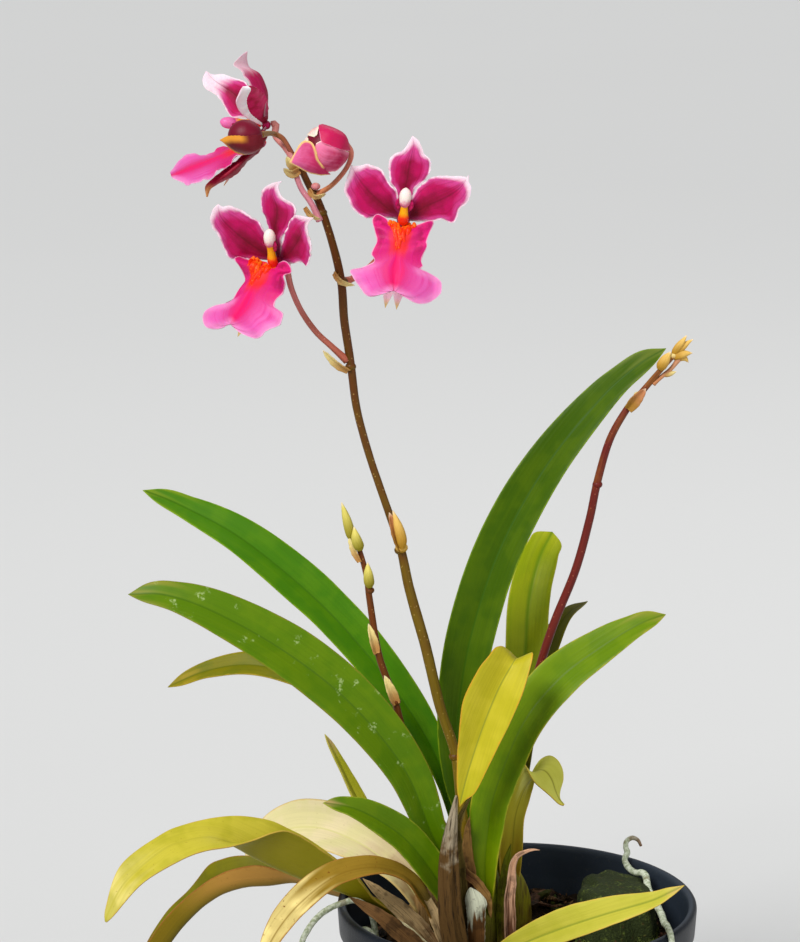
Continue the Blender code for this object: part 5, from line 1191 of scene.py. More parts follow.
# The lower sepals, the knob they grow from, and the petals and upper sepal over their lines
def makeTepals(name, how, seed):
    low = np.array(((-0.4, 0.5, -0.7), (-1.2, 1.0, -9), (-1.6, 1.2, -18), (-1.8, 2.2, -29.6)))
    swing = math.radians(how.get("swing", 0))
    turned = np.array([[math.cos(swing), 0, -math.sin(swing)], [0, 1, 0],
                       [math.sin(swing), 0, math.cos(swing)]])
    left, right = how.get("short", (1, 1))
    lowLeft = leaning(low * left @ turned, how["low"])
    lowRight = leaning(low * (-right, right, right) @ turned, how["low"])
    knob = 1.5 if "inSpace" in how else 2.2
    fine = dict(thick=0.55, rows=44, columns=30, crowd=1.5, waves=2.2, keel=0.25, groove=0.12, cup=0.6,
                paint=1)
    solids = [
        blade(lowRight, 6.2, "narrow", ((0, -1, 0), (-0.3, -1, 0)), seed=seed + 80, **fine),
        ball((0, 0, 0), (knob, knob, knob), paint=2),
    ]
    if "inSpace" not in how:
        solids.append(blade(lowLeft, 6.2, "narrow", ((0, -1, 0), (0.3, -1, 0)), seed=seed + 60, **fine))
    for k, petal in enumerate(how.get("petals", ())):
        long = petal["middle"][-1][0]
        lines = [onPlane(petal[side], petal["angle"], petal["lean"], petal["bow"], long)
                 for side in ("left", "middle", "right")]
        solids.append(spread(lines, ruffle=0.55, waves=4.5, nibble=0.16, bulge=0.5, crease=0.35,
                             seed=seed + 7 * k))
    solids = [moved(solid, how["at"], how["turn"]) for solid in solids]
    for k, sheet in enumerate(how.get("inSpace", ())):
        solids.append(spread(sheet["lines"], sheet.get("places", (-1, 0, 1)), ruffle=0.35, waves=4.5,
                             nibble=0.16, bulge=0.3, seed=seed + 7 * k, paint=sheet.get("paint", 3)))
    paints = [petalFinish, sepalFinish, plainCrimson, sidePetalFinish, curledFinish, darkSepalFinish]
    return piece(name + "Tepals", solids, paints, [how["node"] + "_tepals"])


lipForward = ((0, 2.9), (0.12, 4.6), (0.3, 6.2), (0.55, 7.6), (0.8, 8.2), (1, 7.4))
lipDown = ((0, 1.8), (0.12, 3.6), (0.3, 7.6), (0.55, 14.2), (0.8, 21), (1, 26.4))


# A point (down, across) of the lip in space. How far it stands forward follows lipForward, read at the share
# where lipDown reaches the same depth, and droops by 1.4 t^2 (0.4 + share) with t = across / 9; the ears near
# the top come forward by a bell of the share. Then the whole leans forward by the lip's angle
def onLip(points, how):
    down, x = np.moveaxis(np.asarray(points, float), -1, 0)
    shares = np.linspace(0, 1, 200)
    s = np.interp(down, through(lipDown, shares) - 1.8, shares)
    t = np.minimum(np.abs(x) / 9, 1.3)
    ear = np.minimum(t, 1) ** 1.6 * np.exp(-(((s - 0.1) / 0.14) ** 2))
    ahead = through(lipForward, s) - 2.9 - 1.4 * t**2 * (0.4 + s) + how["ears"][1] * ear
    down = down - how["ears"][0] * ear
    angle = math.radians(how["lip"])
    y = -2.9 - ahead * math.cos(angle) - down * math.sin(angle)
    z = -1.8 - down * math.cos(angle) + ahead * math.sin(angle) + how["slant"] * x * s
    return triple(x, y, z)


# Lip finish: magenta side lobes with painted shade in their hollows, a hot middle line, an apron that pales
# outwards to orchid pink with radiating veins and a whitish rim, and a red flush under the crest
def lipPaint():
    p = Paint("lipPaint", "lip")
    vein, cloud = p.noise(1, 3, p.fan(9.0, p.times(p.along, 1.3))), p.noise(3.5, 2)
    middle = p.stray(p.size(p.across), vein, 0.35)
    apron = p.ease(p.along, 0.42, 0.66)
    p.coat("lipPale", apron)
    p.coat("lip", middle, 0.75, 0.1, 0.85)
    p.coat("lipHot", middle, 0.34, 0.0, 0.95)
    p.coat("lipVein", vein, 0.5, 0.66, 0.55)
    # Painted shade: a darker crimson in patches over the side lobes, away from their margins, where their
    # folds are shaded
    lobes = p.times(p.ease(p.along, 0.46, 0.3), p.ease(p.size(p.across), 0.3, 0.8, 0.8))
    hollowShade = p.times(p.ease(p.fromEdge, 0.3, 1.4), p.ease(p.noise(2.6, 2), 0.42, 0.6))
    p.coat("lobe", p.times(lobes, hollowShade))
    p.coat((246, 164, 222), p.times(p.ease(p.stray(p.fromEdge, cloud, 1.6), 3.0, 0, 0.8), apron))
    p.coat("lipRim", p.fromEdge, 0.4, 0.08, 0.75)
    p.coat("ember", p.times(p.ease(p.along, 0.5, 0.34), p.ease(middle, 0.5, 0.2)))
    p.coat("back", p.under, 0.4, 0.6, 0.3)
    height = p.both(vein, 0.7, p.noise(0.25, 2), 0.3)
    return p.done(p.sum(p.times(cloud, 0.12), 0.45), height, 0.2, 0.18, 0.08)


# Crest finish: orange red, yellow at the top and in flecks; the yellow is partly the crest's own colour and
# partly painted highlight
def crestPaint():
    p = Paint("crestPaint", "ember")
    # Yellow at the top and in fine flecks: partly the crest's own colour, partly painted highlight on its
    # ridges
    p.coat("yolk", p.stray(p.along, p.noise(0.9, 2), 0.9), 0.42, 0.05, 0.8)
    p.coat("yolk", p.noise(0.7, 2), 0.56, 0.7, 0.55)
    return p.done(0.4, p.noise(0.3, 2), soft=0.1, softReach=0.6)


# Deep crimson, clouded with a brighter one
def plainPaint():
    p = Paint("crimsonPaint", "deep")
    cloud = p.noise(1.2, 3)
    p.coat("mid", cloud, 0.35, 0.65)
    return p.done(0.42, cloud, 0.12)


lipFinish, crestFinish, plainCrimson = lipPaint(), crestPaint(), plainPaint()
# The crest's fleshy ridges: place across at the top and at the foot, length and thickness
crestRidges = ((-3.0, -1.5, 6.0, 1.0), (-1.9, -0.9, 8.6, 0.95), (-0.8, -0.3, 11, 0.9), (0.7, 0.2, 11.4, 0.9),
               (1.8, 0.8, 9.0, 0.95), (2.9, 1.5, 6.4, 1.0), (4.1, 3.0, 3.4, 0.8), (-4.1, -3.1, 3.2, 0.8))


# The lip spread flat over its lines, bent by onLip, ruffled and folded; the crest's ridges run over it
def makeLip(name, how, seed):
    if "lipInSpace" in how:
        body = spread(how["lipInSpace"], rows=72, columns=48, crease=0.2, bulge=1.2, ruffle=1.1, waves=3.5,
                      nibble=0.2, thick=0.5, seed=seed)
        return piece(name + "Lip", [body], [lipFinish], [how["node"] + "_lip"])
    lines = how["lipLines"]
    flat = [np.column_stack([np.array(line, float), np.zeros(len(line))]) for line in lines]
    body = spread(flat, rows=72, columns=60, crease=0.5, nibble=0.22, thick=0.5, seed=seed)
    plane = body["points"]
    share, across = body["spot"][:, 1], body["spot"][:, 0]
    size = np.abs(across)
    shape = onLip(plane[:, :2], how)
    edge = np.where(across < 0, wander(share, seed + 2, 3.4), wander(share, seed + 3, 3.4))
    lobes = np.exp(-(((share - 0.28) / 0.16) ** 2))
    folds = 1.1 * size**1.5 * lobes * np.sin(30 * share + 2.5 * across + 2 * np.sign(across))
    ruffle = (0.8 * size**3 * edge * (1 - lobes) + folds + 0.5 * share**6 * wander(across, seed + 4, 2.4)
              - 0.5 * np.exp(-((across / 0.1) ** 2)) * np.exp(-(((share - 0.75) / 0.25) ** 2)))
    lean = math.radians(how["lip"])
    ahead = np.array([0, -math.cos(lean), math.sin(lean)])
    body["points"] = shape + ahead * (ruffle + plane[:, 2])[:, None]
    body["faces"] = facingOut(body["points"], body["faces"])
    solids = [body]
    for k, (top, foot, long, thick) in enumerate(crestRidges):
        s = np.linspace(0, 1, 9)
        x = top + (foot - top) * s**0.6 + 0.35 * np.sin(9 * s + 2 * k)
        down = -0.4 + long * s + 0.5 * np.abs(top) * (-0.5) * (1 - s)
        path = onLip(np.column_stack([down, x + how.get("crest", -0.4)]), how)
        path = path + ahead * (0.25 * np.sin(9 * s + k) - 0.2 * s - 0.2)[:, None]
        solids.append(tube(path, ((0, thick * 0.5), (0.15, thick), (0.6, thick * 0.8), (1, 0.25)), rows=44,
                           sides=10, paint=1, form=lambda a, b, k=k: 1 + 0.04 * np.sin(13 * b + 3 * k)))
    solids = [moved(solid, how["at"], how["turn"]) for solid in solids]
    return piece(name + "Lip", solids, [lipFinish, crestFinish], [how["node"] + "_lip"])


# Column finish: red at the foot, gold in the middle, rose at the end
def columnPaint():
    p = Paint("columnPaint", "ember")
    along = p.stray(p.along, p.noise(1.2, 2), 0.15)
    p.coat("gold", along, 0.22, 0.4)
    p.coat((232, 120, 110), along, 0.74, 0.84)
    return p.done(0.36, p.noise(0.4, 2), 0.08, soft=0.1)


# Anther cap finish: pale, flushed towards its foot
def capPaint(name, pale, flush):
    p = Paint(name, pale)
    p.coat(flush, p.stray(p.along, p.noise(1.6, 2), 0.5), 0.5, 0.12, 0.9)
    return p.done(0.3, p.noise(0.3, 2), 0.06, soft=0.15)


columnFinish = columnPaint()
capFinish = capPaint("capPaint", (244, 226, 216), (206, 90, 130))
pinkCapFinish = capPaint("pinkCapPaint", (226, 110, 170), (190, 40, 110))


# The column: a stem that leans forward by an angle, with an anther cap over its end and a wing at each side
def makeColumn(name, how, seed):
    angle, drop = math.radians(how["column"]), how.get("capDown", 0)

    def at(ahead, up, x=0.0):
        y = -3.9 - (ahead * math.cos(angle) + up * math.sin(angle))
        return (x, y, 1.0 + up * math.cos(angle) - ahead * math.sin(angle))

    stemPath = [(0, -2.8, -0.6)] + [at(*q) for q in ((0, -0.6), (0.5, 2.0), (0.8, 4.6), (1.0, 7.5))]
    solids = [
        tube(stemPath, ((0, 1.5), (0.2, 1.7), (0.4, 1.35), (0.65, 1.3), (0.85, 1.6), (1, 1.2)), rows=40,
             sides=24, deep=0.9),
        tube([at(1.1, 4.9 - drop), at(1.3, 6.9 - drop), at(1.4, 9.0 - drop), at(1.3, 11.0 - drop)],
             ((0, 0.9), (0.12, 1.5), (0.35, 1.8), (0.65, 1.85), (0.85, 1.4), (0.96, 0.75), (1, 0.3)), rows=30,
             sides=24, paint=1),
    ]
    for side in (-1, 1):
        wing = ((0.5, 3.6, 1.0), (1.1, 5.2, 1.9), (1.4, 7.6, 2.1))
        path = [at(ahead, up - drop, out * side) for ahead, up, out in wing]
        solids.append(blade(path, 1.9, "narrow", ((0, -1, 0), (0, -1, 0)), cup=0.5, thick=0.6, rows=16,
                            columns=12, seed=seed, paint=2))
    solids = [moved(solid, how["at"], how["turn"]) for solid in solids]
    cap = pinkCapFinish if "inSpace" in how else capFinish
    return piece(name + "Column", solids, [columnFinish, cap, plainCrimson], [how["node"] + "_column"])


for number, (name, how) in enumerate(blooms.items()):
    makeTepals(name, how, 100 + 200 * number)
    makeLip(name, how, 110 + 200 * number)
    makeColumn(name, how, 120 + 200 * number)
print("blooms made:", len(blooms))


# Buds: tepals that hug an egg. Each line's points are directions from the bud's middle, and each is set on
# the egg's surface, times how far it stands off; the last of an outer tepal's points may reach past it

buds = {
    "budOpening": dict(
        node="bud_opening", at=(-62.5, -16, 359.6), radii=(7.6, 7.6, 7.9), heart=(6.9, 6.6, 7.0),
        tepals=(
            dict(
                off=1.0, paint=1,
                lines=(
                    ((7.8, -1.5, -0.4), (4.8, -6.3, 0.7), (1.4, -7.5, 2.2), (-1.1, -7.2, 3.3),
                        (-2.0, -4.7, 6.2)),
                    ((8, 0, 0), (6.5, -2, 4.5), (2.5, -4.5, 6.5), (-0.6, -4.4, 6.8), (-2.0, -4.5, 6.3)),
                    ((8, 3, 0), (6, 5, 5), (1, 4, 7), (-2, 0, 8), (-2.1, -4.2, 6.5)))),
            dict(
                off=0.96, paint=0,
                lines=(
                    ((6, 1, -5), (3.6, -1.5, -7.2), (-0.5, -4, -7), (-2.6, -6, -5), (-3.8, -6.8, -1.2)),
                    ((7.2, -1, -3), (4.5, -6, -2.5), (0, -7.6, -1.5), (-2.6, -7.2, 0.4), (-3.9, -6.9, -0.4)),
                    ((7.8, 0, -1), (4.8, -6.2, 1.4), (1.4, -7.4, 3.0), (-1.1, -7.2, 3.9),
                     (-3.2, -6.9, 3.0)))),
            dict(
                off=0.93, paint=2,
                lines=(
                    ((-4, 4, 5), (-6.5, 2, 5.5), (-6.8, -1.5, 5.6), (-4.2, -5.2, 5.2)),
                    ((-1, 5, 6), (-4, 1.5, 6.8), (-4.6, -2, 6.7), (-3.8, -5.3, 5.5)),
                    ((1, 5, 7), (-1.5, 1, 7.9), (-2.4, -2.4, 7.4), (-3.0, -5.2, 6.1)))),
            dict(
                off=0.95, paint=2,
                lines=(
                    ((-3, -6, -2), (-5, -5.9, 1), (-5.7, -5.2, 2.3), (-6.6, -3.6, 4.6)),
                    ((-4, -2, -4), (-7, -2.6, 0.6), (-7.6, -2.6, 2.8), (-7, -3.2, 5)),
                    ((-5, 3, -4), (-7.5, 2, 0), (-8.2, -0.6, 2.6), (-7.6, -2.4, 5.4)))),
            dict(
                off=1.03, paint=3, reach=1.35,
                lines=(
                    ((1.6, -2, -8), (-2, -4, -7.6), (-6, -5, -6.4), (-8.6, -5.4, -4.9), (-11.2, -5.6, -3.5)),
                    ((0.5, -4.5, -7), (-3, -7, -4), (-6, -7, -2.8), (-8.6, -6.4, -2.6), (-11.2, -5.6, -3.4)),
                    ((-0.5, -6.5, -5), (-2.4, -7.4, -2), (-3.3, -7, 1.9), (-4.9, -6.3, 3.4),
                        (-7.6, -5.4, 2.7), (-11.2, -5.6, -3.3)))))),
    "budClosed": dict(
        node="bud_closed", at=(-87.7, -17.5, 363.7), radii=(5.6, 5.0, 5.5), heart=(5.5, 4.9, 5.4),
        tepals=(
            dict(
                off=1.05, paint=4, reach=1,
                lines=(
                    ((5, 2, -3.5), (2.5, 1, -5.3), (-0.5, 0.5, -5.2), (-3.5, 0, -4.2), (-6, -0.5, -2.4),
                        (-7.4, -1.4, -0.8)),
                    ((5.8, -1, -2.5), (3, -3.4, -3.6), (0, -4.4, -3.2), (-3, -3.8, -2.4), (-5.6, -2.6, -1.6),
                        (-7.8, -1.5, -0.75)),
                    ((5.5, -2.5, 1.0), (3.5, -4.2, 1.2), (0.8, -5, 0.9), (-2.5, -4.6, 1.0), (-5.5, -3, 0.6),
                        (-7.8, -1.5, -0.7)))),)),
}


# Directions set on an egg: p / sqrt(sum((p / r)^2)), or left where they are when they reach past it
def onEgg(points, how, sheet):
    p = np.array(points, float)
    share = 1 / np.sqrt(((p / np.array(how["radii"])) ** 2).sum(1))
    share = np.where((1 / share > 1.12) & ("reach" in sheet), 1, share * sheet["off"])
    return p * share[:, None] + np.array(how["at"])


# A dark egg with a sheet for each tepal, its lines set on the egg
def makeBuds():
    paints = [
        budPaint("budPink", (170, 14, 70), (222, 110, 150), (248, 214, 200), 0.45, (230, 130, 160)),
        budPaint("budCrimson", (186, 20, 76), (196, 30, 86), (214, 110, 146), 0.3),
        budPaint("budCream", (196, 50, 100), (244, 214, 196), (250, 232, 206), 0.8, (246, 208, 196)),
        budPaint("budSepal", (186, 40, 90), (214, 96, 146), (236, 196, 120), 0.9),
        budPaint("budMaroon", (112, 18, 34), (84, 10, 20), (226, 150, 50), 2.8, None, 0.4),
        budPaint("budHeart", (96, 0, 30), (124, 22, 50), (110, 12, 40)),
    ]
    for number, (name, how) in enumerate(buds.items()):
        solids = [ball(how["at"], how["heart"], 24, 32, paint=5)]
        for k, sheet in enumerate(how["tepals"]):
            lines = [onEgg(line, how, sheet) for line in sheet["lines"]]
            solids.append(spread(lines, rows=36, columns=26, ruffle=0.15, nibble=0.12, thick=0.55,
                                 bulge=0.25, seed=700 + 20 * number + k, paint=sheet["paint"]))
        piece(name, solids, paints, [how["node"]])


makeBuds()
print("buds made")


# Spikes: stems with joints, bracts, stalks and small buds

# Stem finish: from low to high along it, dark streaks and small pale specks
def stemPaint(name, low, high, speck, turnAt=(0.1, 0.8)):
    p = Paint(name, low)
    streak = p.noise(1, 3, p.surface(2.2, 0.05))
    p.coat(high, p.stray(p.along, p.noise(7, 2), 0.6), *turnAt)
    p.coat(low, streak, 0.45, 0.7, 0.55, 0.5)
    p.coat(speck, p.cells(1.5), 0.2, 0.1, 0.5)
    return p.done(p.sum(p.times(streak, 0.15), 0.35), streak, 0.12)


# Bract finish: from low to high along it, darker fibres and a papery tip
def bractPaint(name, low, high):
    p = Paint(name, low)
    fibre = p.noise(1, 3, p.surface(3.0, 0.15))
    p.coat(high, p.stray(p.along, fibre, 0.6), 0.1, 0.9)
    p.coat(low, fibre, 0.5, 0.75, 0.5, 0.55)
    p.coat((236, 214, 180), p.sum(p.along, p.times(fibre, 0.1)), 0.9, 1.04, 0.7)
    return p.done(0.55, fibre, 0.15)


stemBrown = stemPaint("stemBrown", (112, 92, 14), (92, 52, 16), (190, 160, 90))
stemShort = stemPaint("stemShort", (96, 60, 20), (104, 54, 14), (180, 140, 80))
stemRed = stemPaint("stemRed", (104, 36, 28), (134, 82, 32), (170, 100, 70), (0.74, 1.0))
stalkTan = stemPaint("stalkTan", (190, 126, 84), (196, 140, 104), (226, 176, 140))
stalkPink = stemPaint("stalkPink", (176, 96, 76), (206, 124, 116), (226, 170, 150))
stalkPale = stemPaint("stalkPale", (232, 150, 166), (206, 130, 120), (248, 214, 214))
stalkOrange = stemPaint("stalkOrange", (214, 140, 96), (222, 130, 110), (240, 190, 150))
stalkOlive = stemPaint("stalkOlive", (160, 90, 70), (140, 100, 40), (200, 170, 110))
bractCream = bractPaint("bractCream", (184, 134, 74), (232, 214, 140))
bractTan = bractPaint("bractTan", (150, 108, 34), (178, 116, 76))
budGreen = bractPaint("budGreen", (146, 134, 34), (216, 202, 100))
budYellow = bractPaint("budYellow", (178, 132, 40), (228, 186, 98))


# A short folded blade at a joint
def bract(path, look, width=4.2, paint=2, seed=1):
    return blade(path, width, "sheath", (look, look), fold=(45, 30), soft=0.35, rows=24, columns=16,
                 thick=0.55, ripple=0.3, ruffle=0.03, seed=seed, paint=paint)


# A flattened ball round the stem
def joint(x, y, z, radius, paint=0):
    return ball((x, y, z), (radius, radius, radius * 0.8), 8, 16, paint=paint)


# A thin tube, thicker at both ends
def stalk(points, thick, paint=1):
    radii = [(s, thick * k) for s, k in ((0, 1.25), (0.08, 1.05), (0.4, 0.9), (0.8, 0.95), (1, 1.2))]
    return tube(points, radii, rows=44, sides=14, paint=paint, even=True)


# The last two points of a flower's stalk: straight out of its back
def behind(name, far, near):
    how = blooms[name]
    return [tuple(point) for point in placed([(0, far, 0), (0, near, 0)], how["at"], how["turn"])]


# A closed bud: a tube with radius times its profile, slightly three-sided
def smallBud(path, radius, paint=3):
    profile = ((0, 0.5), (0.12, 0.85), (0.35, 1.0), (0.62, 0.86), (0.85, 0.42), (1, 0.1))
    radii = [(s, radius * k) for s, k in profile]
    return tube(path, radii, rows=20, sides=18, paint=paint,
                form=lambda a, s: 1 + 0.05 * np.cos(3 * a + 4 * s) + 0.04 * np.cos(2 * a - 5 * s))


# Each spike: its stem, stalks, joints, small buds and bracts, all as one piece
def makeSpikes():
    path = ((-15, -8, 107), (-15.4, -11.2, 116), (-16.8, -11.8, 128), (-19, -11, 142), (-21, -9.5, 159),
            (-26, -9, 175), (-31, -8, 196), (-36, -7, 214), (-39, -6, 228), (-44, -5, 243), (-49, -4, 258),
            (-53, -3, 273), (-55, -2, 288), (-57, -2, 302), (-58, -2, 315), (-61, -1, 328), (-65, 0, 340),
            (-68, 1.5, 345), (-70.5, 3, 350), (-73, 4, 355))
    radii = ((0, 1.5), (0.15, 1.6), (0.44, 1.6), (0.49, 1.4), (0.85, 1.35), (1, 1.05))
    solids = [
        tube(path, radii, rows=200, sides=18, even=True, form=lambda a, s: 1 + 0.03 * wander2(a, 90 * s, 5)),
        stalk([(-72.6, 3.4, 353), (-74.4, 2, 357), (-76.6, 1.5, 360.6), (-79.2, 0, 362.2), (-81, -7, 363.3),
               (-83, -13.5, 363.7)], 0.95, 4),
        stalk([(-56.2, -2, 289), (-61.3, -3, 294), (-66.1, -3, 298.6), (-70.6, -4, 305.3), (-73.7, -5, 312.6),
               (-75, -5.6, 318.4), *behind("bloomLeft", 3.4, 1.6)], 1.1),
        stalk([(-57.5, -2, 315), (-54, 1, 315.5), (-47, 1, 321), (-41, -2, 331),
               *behind("bloomRight", 6, 1.9)], 1.1),
        stalk([(-64.8, -1, 334.6), (-67.5, -2.5, 340.4), (-70.3, -3, 344.6), (-71.9, -3, 348.5),
               (-72.6, -2, 351.4), (-73.6, 0.5, 354.2), (-76, 4, 357.4), (-79, 7, 360.6),
               *behind("bloomTop", 3.2, 1.9)], 1.05, 5),
        stalk([(-65.4, 0, 342.8), (-61, -4, 346.2), (-57.2, -8, 350.8), (-55, -11, 355),
               (-54.6, -12.4, 358.2), (-56, -13.6, 360.6)], 0.9, 6),
    ]
    solids += [joint(*j) for j in ((-39, -6, 227, 2.0), (-55, -2, 287, 1.8), (-57.5, -2, 315, 1.75),
                                   (-64, -0.5, 337, 1.65), (-66, 0.5, 343, 1.6), (-21, -9.5, 158, 2.1))]
    solids += [joint(-66, -1.6, 345.6, 1.5, 5), joint(-38.6, -7.4, 228.2, 2.1, 3)]
    solids.append(smallBud(((-38.4, -9, 228.4), (-38.7, -9.3, 232.1), (-39.8, -9.2, 236.3),
                            (-41.4, -9, 240.9)), 1.7))
    for number, how in enumerate((
            (((-38.6, -8, 227.6), (-40.4, -9, 232.4), (-42.6, -9, 240.4)), (0.5, -1, 0.2), 4.4, 7),
            (((-55.6, -3, 286), (-59.5, -4.4, 288.6), (-64, -5, 293)), (0.4, -0.6, -1), 3.6, 2),
            (((-60, -3, 318), (-57.6, -4.4, 315.4), (-53.6, -4.2, 314)), (0.2, -0.8, -1), 3.4, 2),
            (((-69.2, -4, 339.4), (-67, -4.4, 336.6), (-64.4, -3.4, 335.2)), (-0.3, -0.8, -1), 3.0, 2),
            (((-67.9, -3, 345), (-66.1, -3.8, 342.9), (-62.6, -4.2, 343.6)), (0, -0.8, -1), 3.0, 2),
            (((-71.2, -3.5, 351.2), (-73.6, -4.3, 350.2), (-76.3, -4, 351.7)), (0, -1, -0.4), 3.4, 2),
            (((-72.4, -3.2, 351), (-74.1, -3.9, 353), (-75.2, -3.4, 355.6)), (0.2, -1, 0.2), 3.0, 2))):
        solids.append(bract(*how, seed=800 + number))
    paints = [stemBrown, stalkPink, bractCream, budYellow, stalkOlive, stalkPale, stalkOrange, bractTan]
    piece("spikeMain", solids, paints, ["spike_main"])

    path = ((-17, -3, 106), (-23.5, -3, 114), (-27, -2.5, 130), (-32, -4, 146), (-37, -6, 161),
            (-41, -7, 177), (-46, -8, 192), (-49, -8, 211), (-50, -8, 219), (-53, -8, 230), (-55.5, -8, 236))
    solids = [tube(path, ((0, 1.2), (0.2, 1.25), (0.5, 1.2), (0.8, 1.1), (1, 0.7)), rows=120, sides=16,
                   even=True)]
    solids += [joint(-40.6, -7, 176, 1.75), joint(-48.9, -8, 214, 1.5)]
    solids += [smallBud(((-54.6, -8, 230.6), (-56.2, -8.2, 237.3), (-57.1, -8, 240.5), (-58, -8, 243.4)),
                        1.6),
               smallBud(((-52, -9.3, 227.8), (-53.2, -9.8, 231.6), (-54, -9.5, 235.6)), 1.75),
               smallBud(((-49, -9, 215.2), (-49.3, -9.4, 219), (-49.6, -9.2, 223.6)), 1.7)]
    solids += [bract(((-46.9, -9, 193), (-48.1, -9.6, 197.9), (-49.4, -9.4, 203.2)), (0.6, -1, 0), 3.6, 2,
                     811),
               bract(((-40.4, -8, 175.6), (-42.2, -9, 180.4), (-44.2, -9.2, 185.6)), (0.4, -1, 0), 4.0, 2,
                     812),
               bract(((-52, -8.6, 223.8), (-54.2, -9, 228.1), (-55.8, -8.8, 232.4)), (-0.8, -1, 0), 2.8, 2,
                     813)]
    piece("spikeShort", solids, [stemShort, stalkPink, bractCream, budGreen], ["spike_short"])

    path = ((-5.5, 11, 106), (-9, 5.4, 117), (-8.5, 4.6, 130), (-3.5, 6, 146), (3, 9.5, 165), (7, 12, 181),
            (12, 13, 197), (19, 14, 215), (23.5, 15, 232), (26, 15, 245), (30, 16, 259), (35.7, 17, 269.3),
            (38.9, 17, 273), (41.4, 17, 276), (44.8, 17, 280.2), (47, 17, 282.8), (50.3, 17.6, 286.4))
    solids = [tube(path, ((0, 1.3), (0.2, 1.4), (0.7, 1.35), (0.86, 1.2), (1, 0.8)), rows=150, sides=16,
                   even=True)]
    solids += [joint(39.2, 17, 273.6, 1.6, 2), joint(26, 15, 244, 1.7), joint(50.4, 17.8, 286.6, 1.3, 2)]
    solids += [smallBud(((45.8, 16.4, 282.4), (47.6, 16.4, 285.3), (49.6, 16.8, 288.2)), 1.8),
               smallBud(((50.4, 18, 286.8), (51.8, 18, 289.2), (53.4, 18, 291.3), (54.8, 18, 293.4)), 1.25),
               smallBud(((50.8, 18.4, 286.8), (53.8, 18.5, 289.6), (55.4, 18.5, 291), (57, 18.5, 292)), 1.15),
               smallBud(((50.4, 17.8, 286.2), (52.8, 18, 286.8), (55, 18, 287.4), (56.8, 18, 287.5)), 1.35),
               smallBud(((50.6, 18.3, 285.9), (53.1, 18.5, 285.9), (54.4, 18.5, 285.6), (55.6, 18.5, 284.3)),
                        1.2)]
    solids.append(stalk([(44, 17.2, 277.4), (47.1, 17.6, 280), (49.9, 17.8, 282.4), (52.4, 18, 285.6)], 0.8,
                        4))
    solids.append(smallBud(((47.4, 17.6, 280.2), (49.6, 17.6, 280.7), (51.6, 17.6, 281.4)), 0.9, 2))
    solids.append(bract(((35.7, 15.6, 269.2), (38.6, 15.4, 272.8), (41.6, 15.6, 276.2)), (0.2, -1, 0.2), 4.6,
                        5, 821))
    paints = [stemRed, stalkPink, bractCream, budYellow, stalkTan, bractTan]
    piece("spikeRight", solids, paints, ["spike_right"])


makeSpikes()
print("spikes made")


# Roots and rhizome

roots = {
    "rootLeft": dict(
        node="root_left", radii=((0, 1.0), (0.3, 1.0), (0.7, 1.0), (1, 0.8)),
        path=((-46.8, -9, 84), (-47, -9, 95), (-49, -11, 104.5), (-53, -12.8, 109), (-58, -15, 109.2),
            (-65, -21, 107.5), (-70, -26, 102.5), (-72, -28, 96), (-73, -29, 84), (-72, -30, 72))),
    "rootLoop": dict(
        node="root_loop", radii=((0, 1.0), (0.5, 1.1), (1, 1.0)),
        path=((-44, -18, 84), (-46, -20, 94), (-49, -18, 100), (-52, -14, 99), (-51, -10, 94),
              (-47, -4, 84))),
    "rootRight": dict(
        node="root_right",
        radii=((0, 0.5), (0.06, 0.85), (0.2, 1.1), (0.7, 1.15), (1, 0.95)),
        path=((44.2, 44, 108.8), (43.2, 44.5, 110.7), (41.2, 44, 111.8), (39.2, 43, 111),
            (38.7, 41.2, 109.5), (39.2, 39.5, 108), (38.2, 37, 106.6), (38.7, 34, 105.5), (40, 31, 104.6),
            (41.7, 28.5, 104.4), (43.4, 27, 105), (44.6, 25.2, 104.6), (44.9, 21.5, 103.4),
            (45.1, 16.5, 102.5), (46, 10.5, 102.2), (47, 2.5, 102), (47.8, -8.5, 102.6), (48, -19, 103.6),
            (48.1, -27, 105.7), (48.4, -33, 106.3), (49, -36.2, 104.6), (49.3, -36.8, 99.5),
            (49.1, -37, 92))),
}


# Root finish: grey velvet with brown patches, brown where it starts
def rootPaint():
    p = Paint("rootPaint", (150, 160, 128))
    grain = p.noise(1.2, 4)
    p.coat((206, 212, 190), grain, 0.35, 0.65)
    p.coat((120, 104, 76), p.noise(4, 2), 0.56, 0.7, 0.6)
    p.coat((120, 84, 60), p.along, 0.09, 0.0, 0.9)
    return p.done(0.75, grain, 0.35)


rootFinish = rootPaint()
for number, (name, how) in enumerate(roots.items()):
    def bumpy(a, s, k=number):
        return 1 + 0.07 * wander2(a, 60 * s, 30 + k) + 0.05 * wander(s, 50 + k, 14)

    body = tube(how["path"], how["radii"], rows=140, sides=16, even=True, form=bumpy)
    piece(name, [body], [rootFinish], [how["node"]])

rhizomeHow = dict(path=((-31, 5, 83), (-24, -3, 82.5), (-13, -6, 82.5), (-4, -2, 82.5), (-2, 12, 83)),
                  radius=2.4)


# The creeping stem, ringed by 1 + 0.06 times the signed root of sin(40 s)
def makeRhizome():
    p = Paint("rhizomePaint", (110, 84, 44))
    grain = p.noise(1.5, 3)
    p.coat((150, 130, 70), grain, 0.35, 0.65)
    finish = p.done(0.8, grain, 0.4)
    r = rhizomeHow["radius"]
    body = tube(rhizomeHow["path"], ((0, r * 0.9), (0.5, r), (1, r * 0.9)), rows=60, sides=20,
                form=lambda a, s: 1 + 0.06 * np.sign(np.sin(40 * s)) * np.abs(np.sin(40 * s)) ** 0.5)
    piece("rhizomeStem", [body], [finish], ["rhizome"])


makeRhizome()
print("roots made")


# Pot

